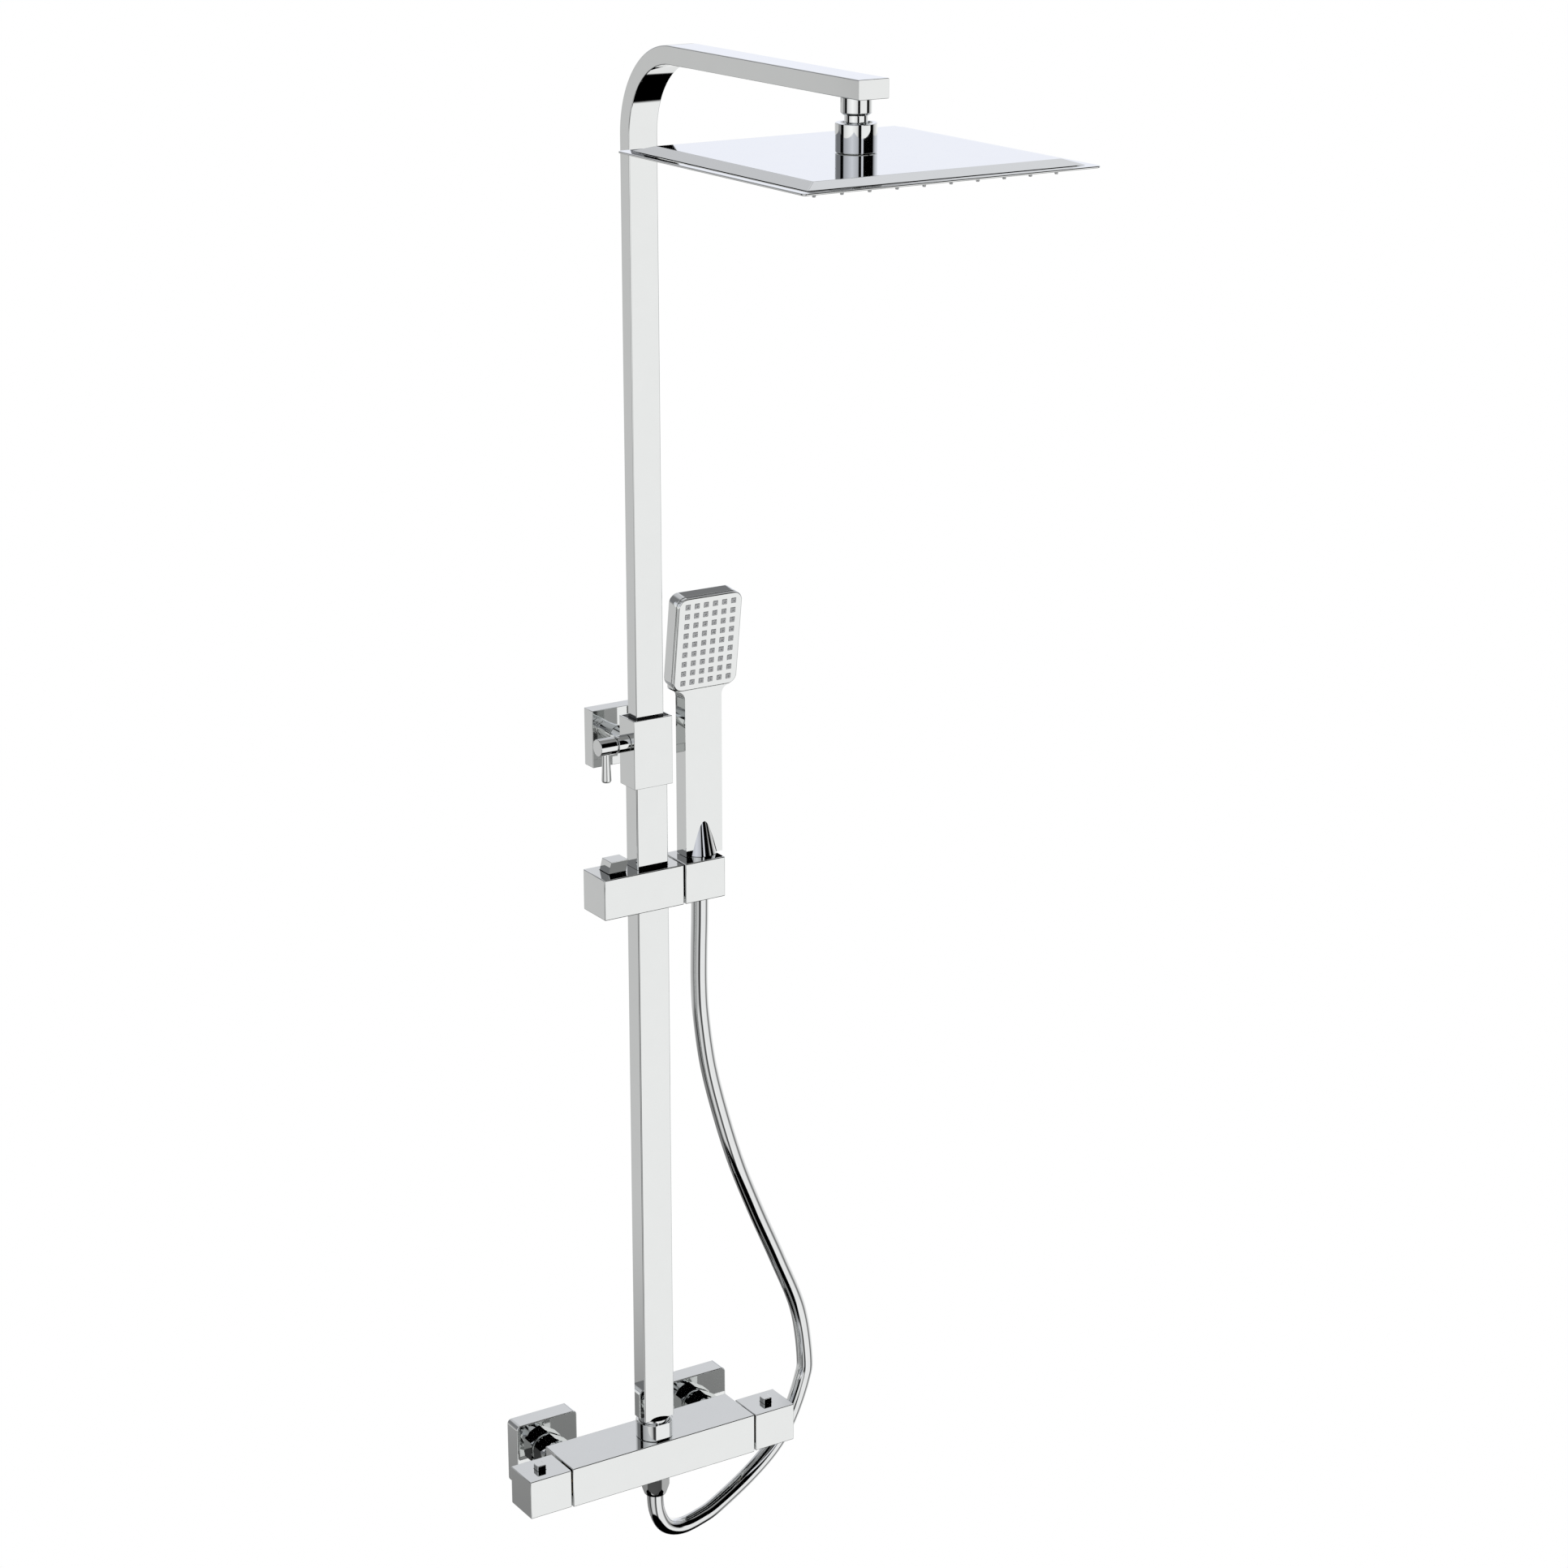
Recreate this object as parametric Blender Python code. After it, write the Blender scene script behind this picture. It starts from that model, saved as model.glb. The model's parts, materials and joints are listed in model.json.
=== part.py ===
"""Rainfall shower column: bar valve, telescopic riser, rain head, handset on a slider, hose.

Metres, +Z up, front towards -Y.  The origin is the centre of the upper wall
bracket's back face, on the wall plane Y = 0.
"""
import math

import bmesh
import bpy
from mathutils import Matrix, Vector

for old in list(bpy.data.objects):
    bpy.data.objects.remove(old, do_unlink=True)

# ---------------------------------------------------------------- dimensions
GAP = 0.0003                     # running gap between touching pieces
RISER_Y = -0.0706                # riser axis in front of the wall

# valve
VALVE_Z = -0.631                 # height of the valve's centre
VALVE_Y = -0.0643
VALVE_SIZE = (0.1796, 0.0478, 0.0354)
SPINDLE_Y = -0.0712              # axis of both handles
HANDLE_SIZE = (0.0390, 0.0340, 0.0340)
HANDLE_X = 0.1108
BUTTON_SIZE = (0.0080, 0.0075, 0.0112)
BUTTON_X = 0.1120
INLET_X = 0.0750                 # half of the 150 mm inlet spacing
ROSETTE = 0.0585
ROSETTE_DEPTH = 0.0168

# riser
LOW_TUBE = (0.0288, 0.0179)
LOW_WALL = 0.0013
LOW_BOTTOM = -0.5950
LOW_TOP = -0.0030
UP_TUBE = (0.0252, 0.0140)
UP_WALL = 0.0012
UP_BOTTOM = -0.2500
BEND_R = 0.0670
BEND_Z = 0.4892
ARM_Z = BEND_Z + BEND_R
ARM_END = -0.3912
HEAD_Y = -0.3695

# wall bracket and clamp
PLATE = 0.0482
PLATE_BACK = -0.0128
PLATE_FRONT = -0.0264
SLEEVE_SIZE = (0.0354, 0.0235, 0.0572)
SLEEVE_Z = -0.0003
KNOB_Z = 0.0080
KNOB_R = 0.0071

# rain head
HEAD = 0.2430
RIM_Z = 0.5069
BALL_Z = 0.5222
BALL_R = 0.0110

# slider and handset
SLIDE_Y = -0.0700
SLIDE_Z = -0.1153
SLIDE_H = 0.0343
SLIDE_D = 0.0350
SLIDE_LEFT = -0.0498
SLIDE_RIGHT = 0.0243
HOLD_LEFT = 0.0259
HOLD_RIGHT = 0.0636
SET_X = 0.0523                   # handset and hose axis at the holder
SET_Y = -0.0660
GRIP = (0.0344, 0.0150)
FACE_Y = -0.0817                 # centre of the spray face
FACE_Z = 0.0838
FACE_TILT = math.radians(8)
FACE_W = 0.0592
FACE_H = 0.0800

HOSE_R = 0.00715

# ---------------------------------------------------------------- materials


def material(name, colour, metallic, roughness):
    mat = bpy.data.materials.new(name)
    mat.use_nodes = True
    bsdf = mat.node_tree.nodes["Principled BSDF"]
    bsdf.inputs["Base Color"].default_value = (*colour, 1)
    bsdf.inputs["Metallic"].default_value = metallic
    bsdf.inputs["Roughness"].default_value = roughness
    return mat


FINISH = {
    "chrome": ((0.80, 0.81, 0.82), 1.0, 0.06),
    "black": ((0.03, 0.03, 0.03), 0.0, 0.45),
    "rubber": ((0.05, 0.05, 0.05), 0.0, 0.80),
    "silicone": ((0.55, 0.56, 0.57), 0.0, 0.55),
    "brass": ((0.72, 0.56, 0.28), 1.0, 0.30),
    "steel": ((0.60, 0.60, 0.60), 1.0, 0.25),
    "acetal": ((0.85, 0.85, 0.83), 0.0, 0.45),
}

# ---------------------------------------------------------------- collections
parts = bpy.data.collections.new("rainfall_shower_column")
cutters = bpy.data.collections.new("cutters")
bpy.context.scene.collection.children.link(parts)
bpy.context.scene.collection.children.link(cutters)

# ---------------------------------------------------------------- shape tools


def box(size, centre=(0, 0, 0), bevel=0.0, segments=2, upright=0.0):
    """A box; `upright` rounds its Z edges, `bevel` every edge."""
    bm = bmesh.new()
    bmesh.ops.create_cube(bm, size=1)
    bmesh.ops.scale(bm, vec=size, verts=bm.verts)
    if upright:
        edges = [e for e in bm.edges
                 if abs(e.verts[0].co.z - e.verts[1].co.z) > size[2] / 2]
        bmesh.ops.bevel(bm, geom=edges, offset=upright, segments=4,
                        profile=0.5, affect="EDGES")
    if bevel:
        sharp = [e for e in bm.edges if e.calc_face_angle(0) > 0.9]
        bmesh.ops.bevel(bm, geom=sharp, offset=bevel, segments=segments,
                        profile=0.5, affect="EDGES")
    bmesh.ops.translate(bm, vec=centre, verts=bm.verts)
    return bm


def turn(profile, axis="Z", centre=(0, 0, 0), sides=32, start=0.0):
    """A turned piece from (radius, height) points, height along `axis`.

    A profile that starts and ends on the axis makes a solid; any other is
    closed into a ring."""
    bm = bmesh.new()
    verts = [bm.verts.new((r * math.cos(start), r * math.sin(start), h)) for r, h in profile]
    pairs = list(zip(verts, verts[1:]))
    if profile[0][0] > 0 or profile[-1][0] > 0:
        pairs.append((verts[-1], verts[0]))
    edges = [bm.edges.new(p) for p in pairs]
    bmesh.ops.spin(bm, geom=verts + edges, cent=(0, 0, 0), axis=(0, 0, 1),
                   angle=math.tau, steps=sides, use_merge=True, use_duplicate=False)
    bmesh.ops.remove_doubles(bm, verts=bm.verts, dist=1e-6)
    bmesh.ops.recalc_face_normals(bm, faces=bm.faces)
    if axis == "X":
        bmesh.ops.transform(bm, matrix=Matrix.Rotation(math.pi / 2, 4, "Y"), verts=bm.verts)
    if axis == "Y":
        bmesh.ops.transform(bm, matrix=Matrix.Rotation(-math.pi / 2, 4, "X"), verts=bm.verts)
    bmesh.ops.translate(bm, vec=centre, verts=bm.verts)
    return bm


def rod(radius, low, high, axis="Z", centre=(0, 0, 0), sides=32, hole=0.0):
    """A plain round bar, or a ring when `hole` is given."""
    if hole:
        shape = [(hole, low), (radius, low), (radius, high), (hole, high)]
    else:
        shape = [(0, low), (radius, low), (radius, high), (0, high)]
    return turn(shape, axis, centre, sides)


def corner_section(width, depth, radius, steps=2):
    """Rounded rectangle as (across, outward) points, anticlockwise."""
    out = []
    for k, (sx, sy) in enumerate(((1, 1), (-1, 1), (-1, -1), (1, -1))):
        cx, cy = sx * (width / 2 - radius), sy * (depth / 2 - radius)
        for i in range(steps + 1):
            a = (k + i / steps) * math.pi / 2
            out.append((cx + radius * math.cos(a), cy + radius * math.sin(a)))
    return out


def loft(bm, frames, section):
    """Skin a section along (centre, outward direction) frames."""
    rings = []
    for centre, out in frames:
        rings.append([bm.verts.new(centre + Vector((x, 0, 0)) + out * y)
                      for x, y in section])
    for a, b in zip(rings, rings[1:]):
        for i in range(len(a)):
            j = (i + 1) % len(a)
            bm.faces.new((a[i], a[j], b[j], b[i]))
    return rings


def tube(size, wall, radius, outer_frames, inner_frames, closed=False):
    """A rectangular tube, open at both ends or closed at its far end."""
    bm = bmesh.new()
    outer = loft(bm, outer_frames, corner_section(*size, radius))
    inner = loft(bm, inner_frames,
                 corner_section(size[0] - 2 * wall, size[1] - 2 * wall, radius * 0.4))
    for end in (0,) if closed else (0, -1):
        for i in range(len(outer[end])):
            j = (i + 1) % len(outer[end])
            bm.faces.new((outer[end][i], outer[end][j], inner[end][j], inner[end][i]))
    if closed:
        bm.faces.new(outer[-1])
        bm.faces.new(inner[-1])
    bmesh.ops.recalc_face_normals(bm, faces=bm.faces)
    return bm


def merge(*shapes):
    """Several separate shapes in one mesh, for a cutter."""
    out = shapes[0]
    for other in shapes[1:]:
        mesh = bpy.data.meshes.new("scratch")
        other.to_mesh(mesh)
        other.free()
        out.from_mesh(mesh)
        bpy.data.meshes.remove(mesh)
    return out


def piece(name, bm, finish, at=(0, 0, 0), tilt=0.0):
    """A named sub-part with its own material and its origin at `at`."""
    mesh = bpy.data.meshes.new(name)
    bm.to_mesh(mesh)
    bm.free()
    obj = bpy.data.objects.new(name, mesh)
    obj.location = at
    obj.rotation_euler = (tilt, 0, 0)
    mesh.materials.append(material(name + "_" + finish, *FINISH[finish]))
    parts.objects.link(obj)
    return obj


def boolean(obj, bm, how, name):
    """Add `bm` (in the piece's own coordinates) as a cutter or an addition."""
    mesh = bpy.data.meshes.new(name)
    bm.to_mesh(mesh)
    bm.free()
    tool = bpy.data.objects.new(name, mesh)
    tool.location = obj.location
    tool.rotation_euler = obj.rotation_euler
    tool.hide_render = True
    tool.display_type = "WIRE"
    cutters.objects.link(tool)
    mod = obj.modifiers.new(name, "BOOLEAN")
    mod.operation = how
    mod.solver = "EXACT"
    mod.object = tool
    return tool


def cut(obj, bm, name):
    return boolean(obj, bm, "DIFFERENCE", name)


def add(obj, bm, name):
    return boolean(obj, bm, "UNION", name)


def hex_nut(name, outline, bore, axis, at, start):
    """A six-sided nut: `outline` gives corner radii, `bore` round steps inside."""
    nut = piece(name, turn([(0, outline[0][1])] + outline + [(0, outline[-1][1])],
                           axis, sides=6, start=start), "chrome", at)
    cut(nut, turn([(0, bore[0][1])] + bore + [(0, bore[-1][1])], axis, sides=32),
        name + "_bore")
    return nut


# ---------------------------------------------------------------- valve
valve_at = (0, VALVE_Y, VALVE_Z)
spin_y = SPINDLE_Y - VALVE_Y
tube_y = RISER_Y - VALVE_Y
half_l, half_d, half_h = (s / 2 for s in VALVE_SIZE)

valve = piece("valve_body", box(VALVE_SIZE, bevel=0.0006), "chrome", valve_at)
for side, label in ((-1, "left"), (1, "right")):
    add(valve, rod(0.0119, -0.012, 0.0112, "Y", (side * INLET_X, half_d, 0), 28),
        "inlet_spigot_" + label)
cut(valve, rod(0.0132, -half_l - 0.001, half_l + 0.001, "X", (0, spin_y, 0)),
    "main_bore")
cut(valve, rod(0.0100, 0, half_h + 0.001, "Z", (0, tube_y, 0)), "riser_port")
cut(valve, rod(0.0088, -half_h - 0.001, 0, "Z", (0, tube_y, 0)), "hose_port")
for side, label in ((-1, "left"), (1, "right")):
    cut(valve, rod(0.0075, -0.020, 0.013, "Y", (side * INLET_X, half_d, 0), 24),
        "inlet_port_" + label)


def cartridge(name, side, finish):
    """Body in the valve's bore and a stem out into the handle."""
    profile = [(0, 0.0460), (0.0129, 0.0460), (0.0129, 0.0880), (0.0060, 0.0880),
               (0.0060, 0.1110), (0, 0.1110)]
    bm = turn([(r, side * h) for r, h in profile], "X", sides=28)
    bmesh.ops.recalc_face_normals(bm, faces=bm.faces)
    return piece(name, bm, finish, (0, SPINDLE_Y, VALVE_Z))


cartridge("flow_cartridge", -1, "brass")
cartridge("thermostatic_cartridge", 1, "brass")


def handle(name, side):
    obj = piece(name, box(HANDLE_SIZE, bevel=0.0006), "chrome",
                (side * HANDLE_X, SPINDLE_Y, VALVE_Z))
    inner = -side * HANDLE_SIZE[0] / 2
    ends = sorted((inner - side * 0.001, inner + side * 0.0205))
    cut(obj, rod(0.0064, ends[0], ends[1], "X"), name + "_socket")
    pocket = (BUTTON_SIZE[0] + 0.0006, BUTTON_SIZE[1] + 0.0006, 0.0100)
    cut(obj, box(pocket, (side * (BUTTON_X - HANDLE_X), 0, 0.0132)), name + "_pocket")
    return obj


handle("flow_handle", -1)
handle("temperature_handle", 1)
for side, name in ((-1, "flow_stop_button"), (1, "temperature_stop_button")):
    piece(name, box(BUTTON_SIZE, bevel=0.0005), "chrome",
          (side * BUTTON_X, SPINDLE_Y, VALVE_Z + 0.0161))

# inlets
for side, label in ((-1, "left"), (1, "right")):
    at = (side * INLET_X, 0, VALVE_Z)
    hex_nut("inlet_nut_" + label,
            [(0.0148, -0.0328), (0.0168, -0.0308), (0.0168, -0.0202), (0.0156, -0.0190)],
            [(0.0123, -0.0340), (0.0123, -0.0180)], "Y", at, math.pi / 6)
    piece("inlet_union_" + label,
          turn([(0.0078, 0), (0.0105, 0), (0.0105, -0.0150), (0.0119, -0.0150),
                (0.0119, -0.0268), (0.0078, -0.0268)], "Y", sides=24), "chrome", at)
    piece("inlet_washer_" + label,
          rod(0.0116, -0.0288, -0.0271, "Y", sides=24, hole=0.0080), "rubber", at)
    rose = piece("rosette_" + label,
                 box((ROSETTE, ROSETTE, ROSETTE_DEPTH), upright=0.0040), "chrome",
                 (side * INLET_X, -ROSETTE_DEPTH / 2, VALVE_Z), tilt=math.pi / 2)
    cut(rose, box((ROSETTE - 0.0044, ROSETTE - 0.0044, ROSETTE_DEPTH),
                  (0, 0, -0.0016)), "rosette_hollow_" + label)
    cut(rose, rod(0.0126, -0.02, 0.02, "Z", sides=32), "rosette_hole_" + label)

# ---------------------------------------------------------------- riser foot
TOP = VALVE_Z + half_h
foot_at = (0, RISER_Y, TOP)
foot = piece("riser_foot",
             turn([(0.0065, -0.0120), (0.0097, -0.0120), (0.0097, 0.0006),
                   (0.0129, 0.0006), (0.0129, 0.0180), (0.0065, 0.0180)]),
             "chrome", foot_at)
add(foot, box((0.0256, 0.0147, 0.0200), (0, 0, 0.0278), upright=0.0008), "foot_plug")
cut(foot, rod(0.0052, -0.013, 0.040), "foot_bore")
nut = piece("riser_nut",
            turn([(0.0132, GAP), (0.01585, GAP), (0.01585, 0.0144), (0.0152, 0.0151),
                  (0.0132, 0.0151)], sides=48), "chrome", foot_at)
for side, label in ((-1, "front"), (1, "back")):
    cut(nut, box((0.040, 0.010, 0.020), (0, side * 0.01955, 0.0075)), "nut_flat_" + label)

along_y = Vector((0, 1, 0))
low_frames = [(Vector((0, 0, 0)), along_y), (Vector((0, 0, LOW_TOP - LOW_BOTTOM)), along_y)]
piece("lower_riser_tube", tube(LOW_TUBE, LOW_WALL, 0.0009, low_frames, low_frames),
      "chrome", (0, RISER_Y, LOW_BOTTOM))

# ---------------------------------------------------------------- wall bracket
base = piece("bracket_base", rod(0.0150, -0.0124, 0.0, "Y", sides=36), "steel")
cut(base, rod(0.0050, -0.013, -0.0060, "Y", sides=24), "stud_hole")
for side, label in ((-1, "left"), (1, "right")):
    x = side * 0.0095
    cut(base, turn([(0, 0.0010), (0.0022, 0.0010), (0.0022, -0.0092), (0.0038, -0.0092),
                    (0.0038, -0.0130), (0, -0.0130)], "Y", (x, 0, 0), 20),
        "screw_hole_" + label)
    piece("bracket_screw_" + label,
          turn([(0, 0), (0.0019, 0), (0.0019, -0.0096), (0.0034, -0.0096),
                (0.0034, -0.0118), (0, -0.0118)], "Y", sides=20), "steel", (x, 0, 0))
cover = piece("wall_plate",
              box((PLATE, PLATE_BACK - PLATE_FRONT, PLATE),
                  (0, (PLATE_BACK + PLATE_FRONT) / 2, 0), bevel=0.0004), "chrome")
cut(cover, rod(0.0050, PLATE_FRONT - 0.001, PLATE_BACK + 0.001, "Y", sides=24),
    "cover_hole")
piece("bracket_arm",
      turn([(0, -0.0064), (0.0047, -0.0064), (0.0047, -0.0267), (0.0082, -0.0267),
            (0.0065, -0.0480), (0.0058, -0.0484), (0.0058, -0.0496), (0.0067, -0.0500),
            (0.0067, -0.0524), (0.0058, -0.0528), (0.0058, -0.0540), (0.0067, -0.0544),
            (0.0067, -0.0585), (0, -0.0585)], "Y", sides=32), "chrome")

# ---------------------------------------------------------------- clamp sleeve
sleeve_at = (0, RISER_Y, SLEEVE_Z)
sleeve = piece("clamp_sleeve",
               box(SLEEVE_SIZE, bevel=0.0004), "chrome", sleeve_at)
cut(sleeve, box((0.0326, 0.0207, 0.080), upright=0.0008), "sleeve_opening")
cut(sleeve, rod(0.0033, -0.020, -0.012, "X", (0, 0, KNOB_Z - SLEEVE_Z), 20),
    "sleeve_spindle_hole")
liner = piece("sleeve_liner",
              box((0.0320, 0.0201, 0.0562), (0, 0, 0), upright=0.0008), "black", sleeve_at)
split = LOW_TOP - SLEEVE_Z
cut(liner, box((LOW_TUBE[0] + 0.0006, LOW_TUBE[1] + 0.0006, 0.080),
               (0, 0, split + 0.0003 - 0.040)), "liner_lower_hole")
cut(liner, box((UP_TUBE[0] + 0.0006, UP_TUBE[1] + 0.0006, 0.080),
               (0, 0, 0.010)), "liner_upper_hole")
cut(liner, rod(0.0033, -0.020, -0.010, "X", (0, 0, KNOB_Z - SLEEVE_Z), 20),
    "liner_spindle_hole")
piece("knob_collar", rod(KNOB_R, -0.0283, -0.0180, "X", hole=0.0034),
      "chrome", (0, RISER_Y, KNOB_Z))
knob = piece("clamp_knob",
             turn([(0, -0.0448), (KNOB_R - 0.0004, -0.0448), (KNOB_R, -0.0444),
                   (KNOB_R, -0.0300), (0.0061, -0.0298), (0.0061, -0.0286), (0, -0.0286)],
                  "X"), "chrome", (0, RISER_Y, KNOB_Z))
cut(knob, rod(0.0033, -0.0335, -0.020, "X", sides=20), "knob_spindle_hole")
cut(knob, rod(0.0029, -0.010, -0.0035, "Z", (-0.0370, 0, 0), 20), "knob_rod_hole")
piece("clamp_spindle", rod(0.0030, -0.0332, -0.0130, "X", sides=20),
      "steel", (0, RISER_Y, KNOB_Z))
piece("lever_rod",
      turn([(0, -0.0038), (0.0026, -0.0038), (0.0026, -0.0072), (0.0031, -0.0078),
            (0.0040, -0.0285), (0.0033, -0.0297), (0, -0.0297)], "Z", (-0.0370, 0, 0), 24),
      "chrome", (0, RISER_Y, KNOB_Z))

# ---------------------------------------------------------------- upper riser and arm


def arm_path(bottom, end, turns=12):
    """(centre, outward direction) frames up the riser and along the arm."""
    frames = [(Vector((0, 0, bottom)), along_y)]
    for i in range(turns + 1):
        a = math.pi / 2 * i / turns
        out = Vector((0, math.cos(a), math.sin(a)))
        frames.append((Vector((0, -BEND_R, BEND_Z)) + out * BEND_R, out))
    frames.append((Vector((0, end - RISER_Y, ARM_Z)), Vector((0, 0, 1))))
    return frames


arm = piece("upper_riser_arm",
            tube(UP_TUBE, UP_WALL, 0.0010, arm_path(UP_BOTTOM, ARM_END),
                 arm_path(UP_BOTTOM, ARM_END + 0.0012), closed=True),
            "chrome", (0, RISER_Y, 0))
cut(arm, rod(0.0066, ARM_Z - 0.012, ARM_Z - 0.002, "Z", (0, HEAD_Y - RISER_Y, 0), 24),
    "arm_outlet")
guide = piece("riser_guide", box((0.0256, 0.0147, 0.0060), (0, 0, -0.0033)),
              "acetal", (0, RISER_Y, UP_BOTTOM))
add(guide, box((0.0222, 0.0110, 0.0140), (0, 0, 0.0060)), "guide_plug")
cut(guide, rod(0.0040, -0.008, 0.015, sides=20), "guide_hole")

# ---------------------------------------------------------------- ball joint
ball_at = (0, HEAD_Y, BALL_Z)
arm_under = ARM_Z - UP_TUBE[1] / 2 - BALL_Z


def arc(radius, low, high, steps):
    """(r, h) points on a sphere from latitude `low` to `high`, in degrees."""
    out = []
    for i in range(steps + 1):
        a = math.radians(low + (high - low) * i / steps)
        out.append((radius * math.cos(a), radius * math.sin(a)))
    return out


neck_lat = math.degrees(math.acos(0.0083 / BALL_R))
piece("swivel_ball",
      turn([(0.0035, -0.0087)] + arc(BALL_R, -52, neck_lat, 8)
           + [(0.0083, 0.0143), (0.0062, 0.0143), (0.0062, 0.0300), (0.0035, 0.0300)],
           sides=28),
      "chrome", ball_at)
piece("ball_seat",
      turn(arc(0.0118, -55, 20, 6) + arc(0.0114, 20, -55, 6), sides=28), "acetal", ball_at)
cap_low = RIM_Z + 0.0044 - BALL_Z
cap_high = 0.0093
piece("swivel_cap",
      turn([(0.0148, cap_low), (0.0148, cap_high - 0.0004), (0.0144, cap_high),
            (0.0116, cap_high)] + arc(0.0122, 33, -60, 7) + [(0.0060, cap_low)], sides=32),
      "chrome", ball_at)
piece("arm_outlet_nut",
      turn([(0.0065, 0.0146), (0.0091, 0.0146), (0.0111, 0.0163),
            (0.0111, arm_under - GAP), (0.0065, arm_under - GAP)], sides=40),
      "chrome", ball_at)

# ---------------------------------------------------------------- rain head
NOZZLES = 10
PITCH = 0.0220


def frustum(low_w, high_w, low, high):
    bm = bmesh.new()
    bmesh.ops.create_cube(bm, size=1)
    for v in bm.verts:
        w = high_w if v.co.z > 0 else low_w
        v.co = Vector((v.co.x * w, v.co.y * w, high if v.co.z > 0 else low))
    return bm


head_at = (0, HEAD_Y, RIM_Z)
cover = piece("rain_head_cover", frustum(0.2270, 0.2030, GAP, 0.0041), "chrome", head_at)
cut(cover, frustum(0.2260, 0.2020, -0.0010, 0.0030), "cover_hollow")
cut(cover, rod(0.0052, 0.001, 0.006, sides=24), "cover_inlet")
head = piece("rain_head_base",
             box((HEAD, HEAD, 0.0016), (0, 0, -0.0008), upright=0.0040), "chrome", head_at)


def nozzle_grid(columns, rows, pitch_x, pitch_y, size, low, high):
    """Separate square posts on a grid, for cutting nozzle holes."""
    posts = []
    for i in range(columns):
        for j in range(rows):
            centre = ((i - (columns - 1) / 2) * pitch_x, (j - (rows - 1) / 2) * pitch_y,
                      (low + high) / 2)
            posts.append(box((size, size, high - low), centre))
    return merge(*posts)


def nozzle_mat(columns, rows, pitch_x, pitch_y, size, sheet, thick, reach, bore):
    """A flexible sheet with square nozzles hanging below it, sheet top at Z = 0."""
    bm = bmesh.new()
    xs = [-sheet[0] / 2] + [(i - (columns - 2) / 2) * pitch_x for i in range(columns - 1)] \
        + [sheet[0] / 2]
    ys = [-sheet[1] / 2] + [(j - (rows - 2) / 2) * pitch_y for j in range(rows - 1)] \
        + [sheet[1] / 2]
    bmesh.ops.create_grid(bm, x_segments=columns, y_segments=rows, size=0.5)
    order_x = sorted({round(v.co.x, 5) for v in bm.verts})
    order_y = sorted({round(v.co.y, 5) for v in bm.verts})
    for v in bm.verts:
        v.co = Vector((xs[order_x.index(round(v.co.x, 5))],
                       ys[order_y.index(round(v.co.y, 5))], -thick))
    cells = list(bm.faces)
    grown = bmesh.ops.extrude_face_region(bm, geom=cells)["geom"]
    top = [g for g in grown if isinstance(g, bmesh.types.BMVert)]
    bmesh.ops.translate(bm, vec=(0, 0, thick), verts=top)
    bmesh.ops.dissolve_limit(bm, angle_limit=0.01, use_dissolve_boundaries=False,
                             verts=top, edges=[e for e in bm.edges
                                               if all(v.co.z > -thick / 2 for v in e.verts)])
    lower = [f for f in bm.faces if all(v.co.z < -thick / 2 for v in f.verts)]
    for f in lower:
        mid = f.calc_center_median()
        i = min(range(columns), key=lambda k: abs((k - (columns - 1) / 2) * pitch_x - mid.x))
        j = min(range(rows), key=lambda k: abs((k - (rows - 1) / 2) * pitch_y - mid.y))
        cx, cy = (i - (columns - 1) / 2) * pitch_x, (j - (rows - 1) / 2) * pitch_y
        foot = bmesh.ops.extrude_discrete_faces(bm, faces=[f])["faces"][0]
        rim = list(foot.verts)
        for v in rim:
            v.co = Vector((cx + math.copysign(size / 2, v.co.x - cx),
                           cy + math.copysign(size / 2, v.co.y - cy), -thick))
        tip = bmesh.ops.extrude_discrete_faces(bm, faces=[foot])["faces"][0]
        for v in tip.verts:
            v.co.z = -thick - reach
        if bore:
            lip = bmesh.ops.extrude_discrete_faces(bm, faces=[tip])["faces"][0]
            for v in lip.verts:
                v.co = Vector((cx + math.copysign(bore / 2, v.co.x - cx),
                               cy + math.copysign(bore / 2, v.co.y - cy), v.co.z))
            deep = bmesh.ops.extrude_discrete_faces(bm, faces=[lip])["faces"][0]
            for v in deep.verts:
                v.co.z += 0.0008
    bmesh.ops.recalc_face_normals(bm, faces=bm.faces)
    return bm


cut(head, nozzle_grid(NOZZLES, NOZZLES, PITCH, PITCH, 0.0032, -0.003, 0.001),
    "rain_nozzle_holes")
piece("rain_head_nozzles",
      nozzle_mat(NOZZLES, NOZZLES, PITCH, PITCH, 0.0024, (0.2100, 0.2100), 0.0008, 0.0070, 0),
      "silicone", (0, HEAD_Y, RIM_Z + 0.0011))

# ---------------------------------------------------------------- slider
slide_at = (0, SLIDE_Y, SLIDE_Z)
slider = piece("slider_body",
               box((SLIDE_RIGHT - SLIDE_LEFT, SLIDE_D, SLIDE_H),
                   ((SLIDE_LEFT + SLIDE_RIGHT) / 2, 0, 0), bevel=0.0008), "chrome", slide_at)
cut(slider, box((LOW_TUBE[0] + 0.0006, LOW_TUBE[1] + 0.0006, 0.050),
                (0, RISER_Y - SLIDE_Y, 0), upright=0.0009), "slider_tube_hole")
LEVER_X, LEVER_Y = -0.0315, -0.0688          # middle of the release lever
lever_at = (LEVER_X, LEVER_Y + 0.0040, SLIDE_Z + 0.0130)
lever_y, lever_z = lever_at[1] - SLIDE_Y, lever_at[2] - SLIDE_Z
cut(slider, box((0.0168, 0.0164, 0.0220), (LEVER_X, LEVER_Y - SLIDE_Y, 0.0090)),
    "slider_lever_slot")
cut(slider, box((0.0046, 0.0120, 0.0160), (-0.0165, RISER_Y - SLIDE_Y, 0)),
    "slider_pad_pocket")
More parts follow.
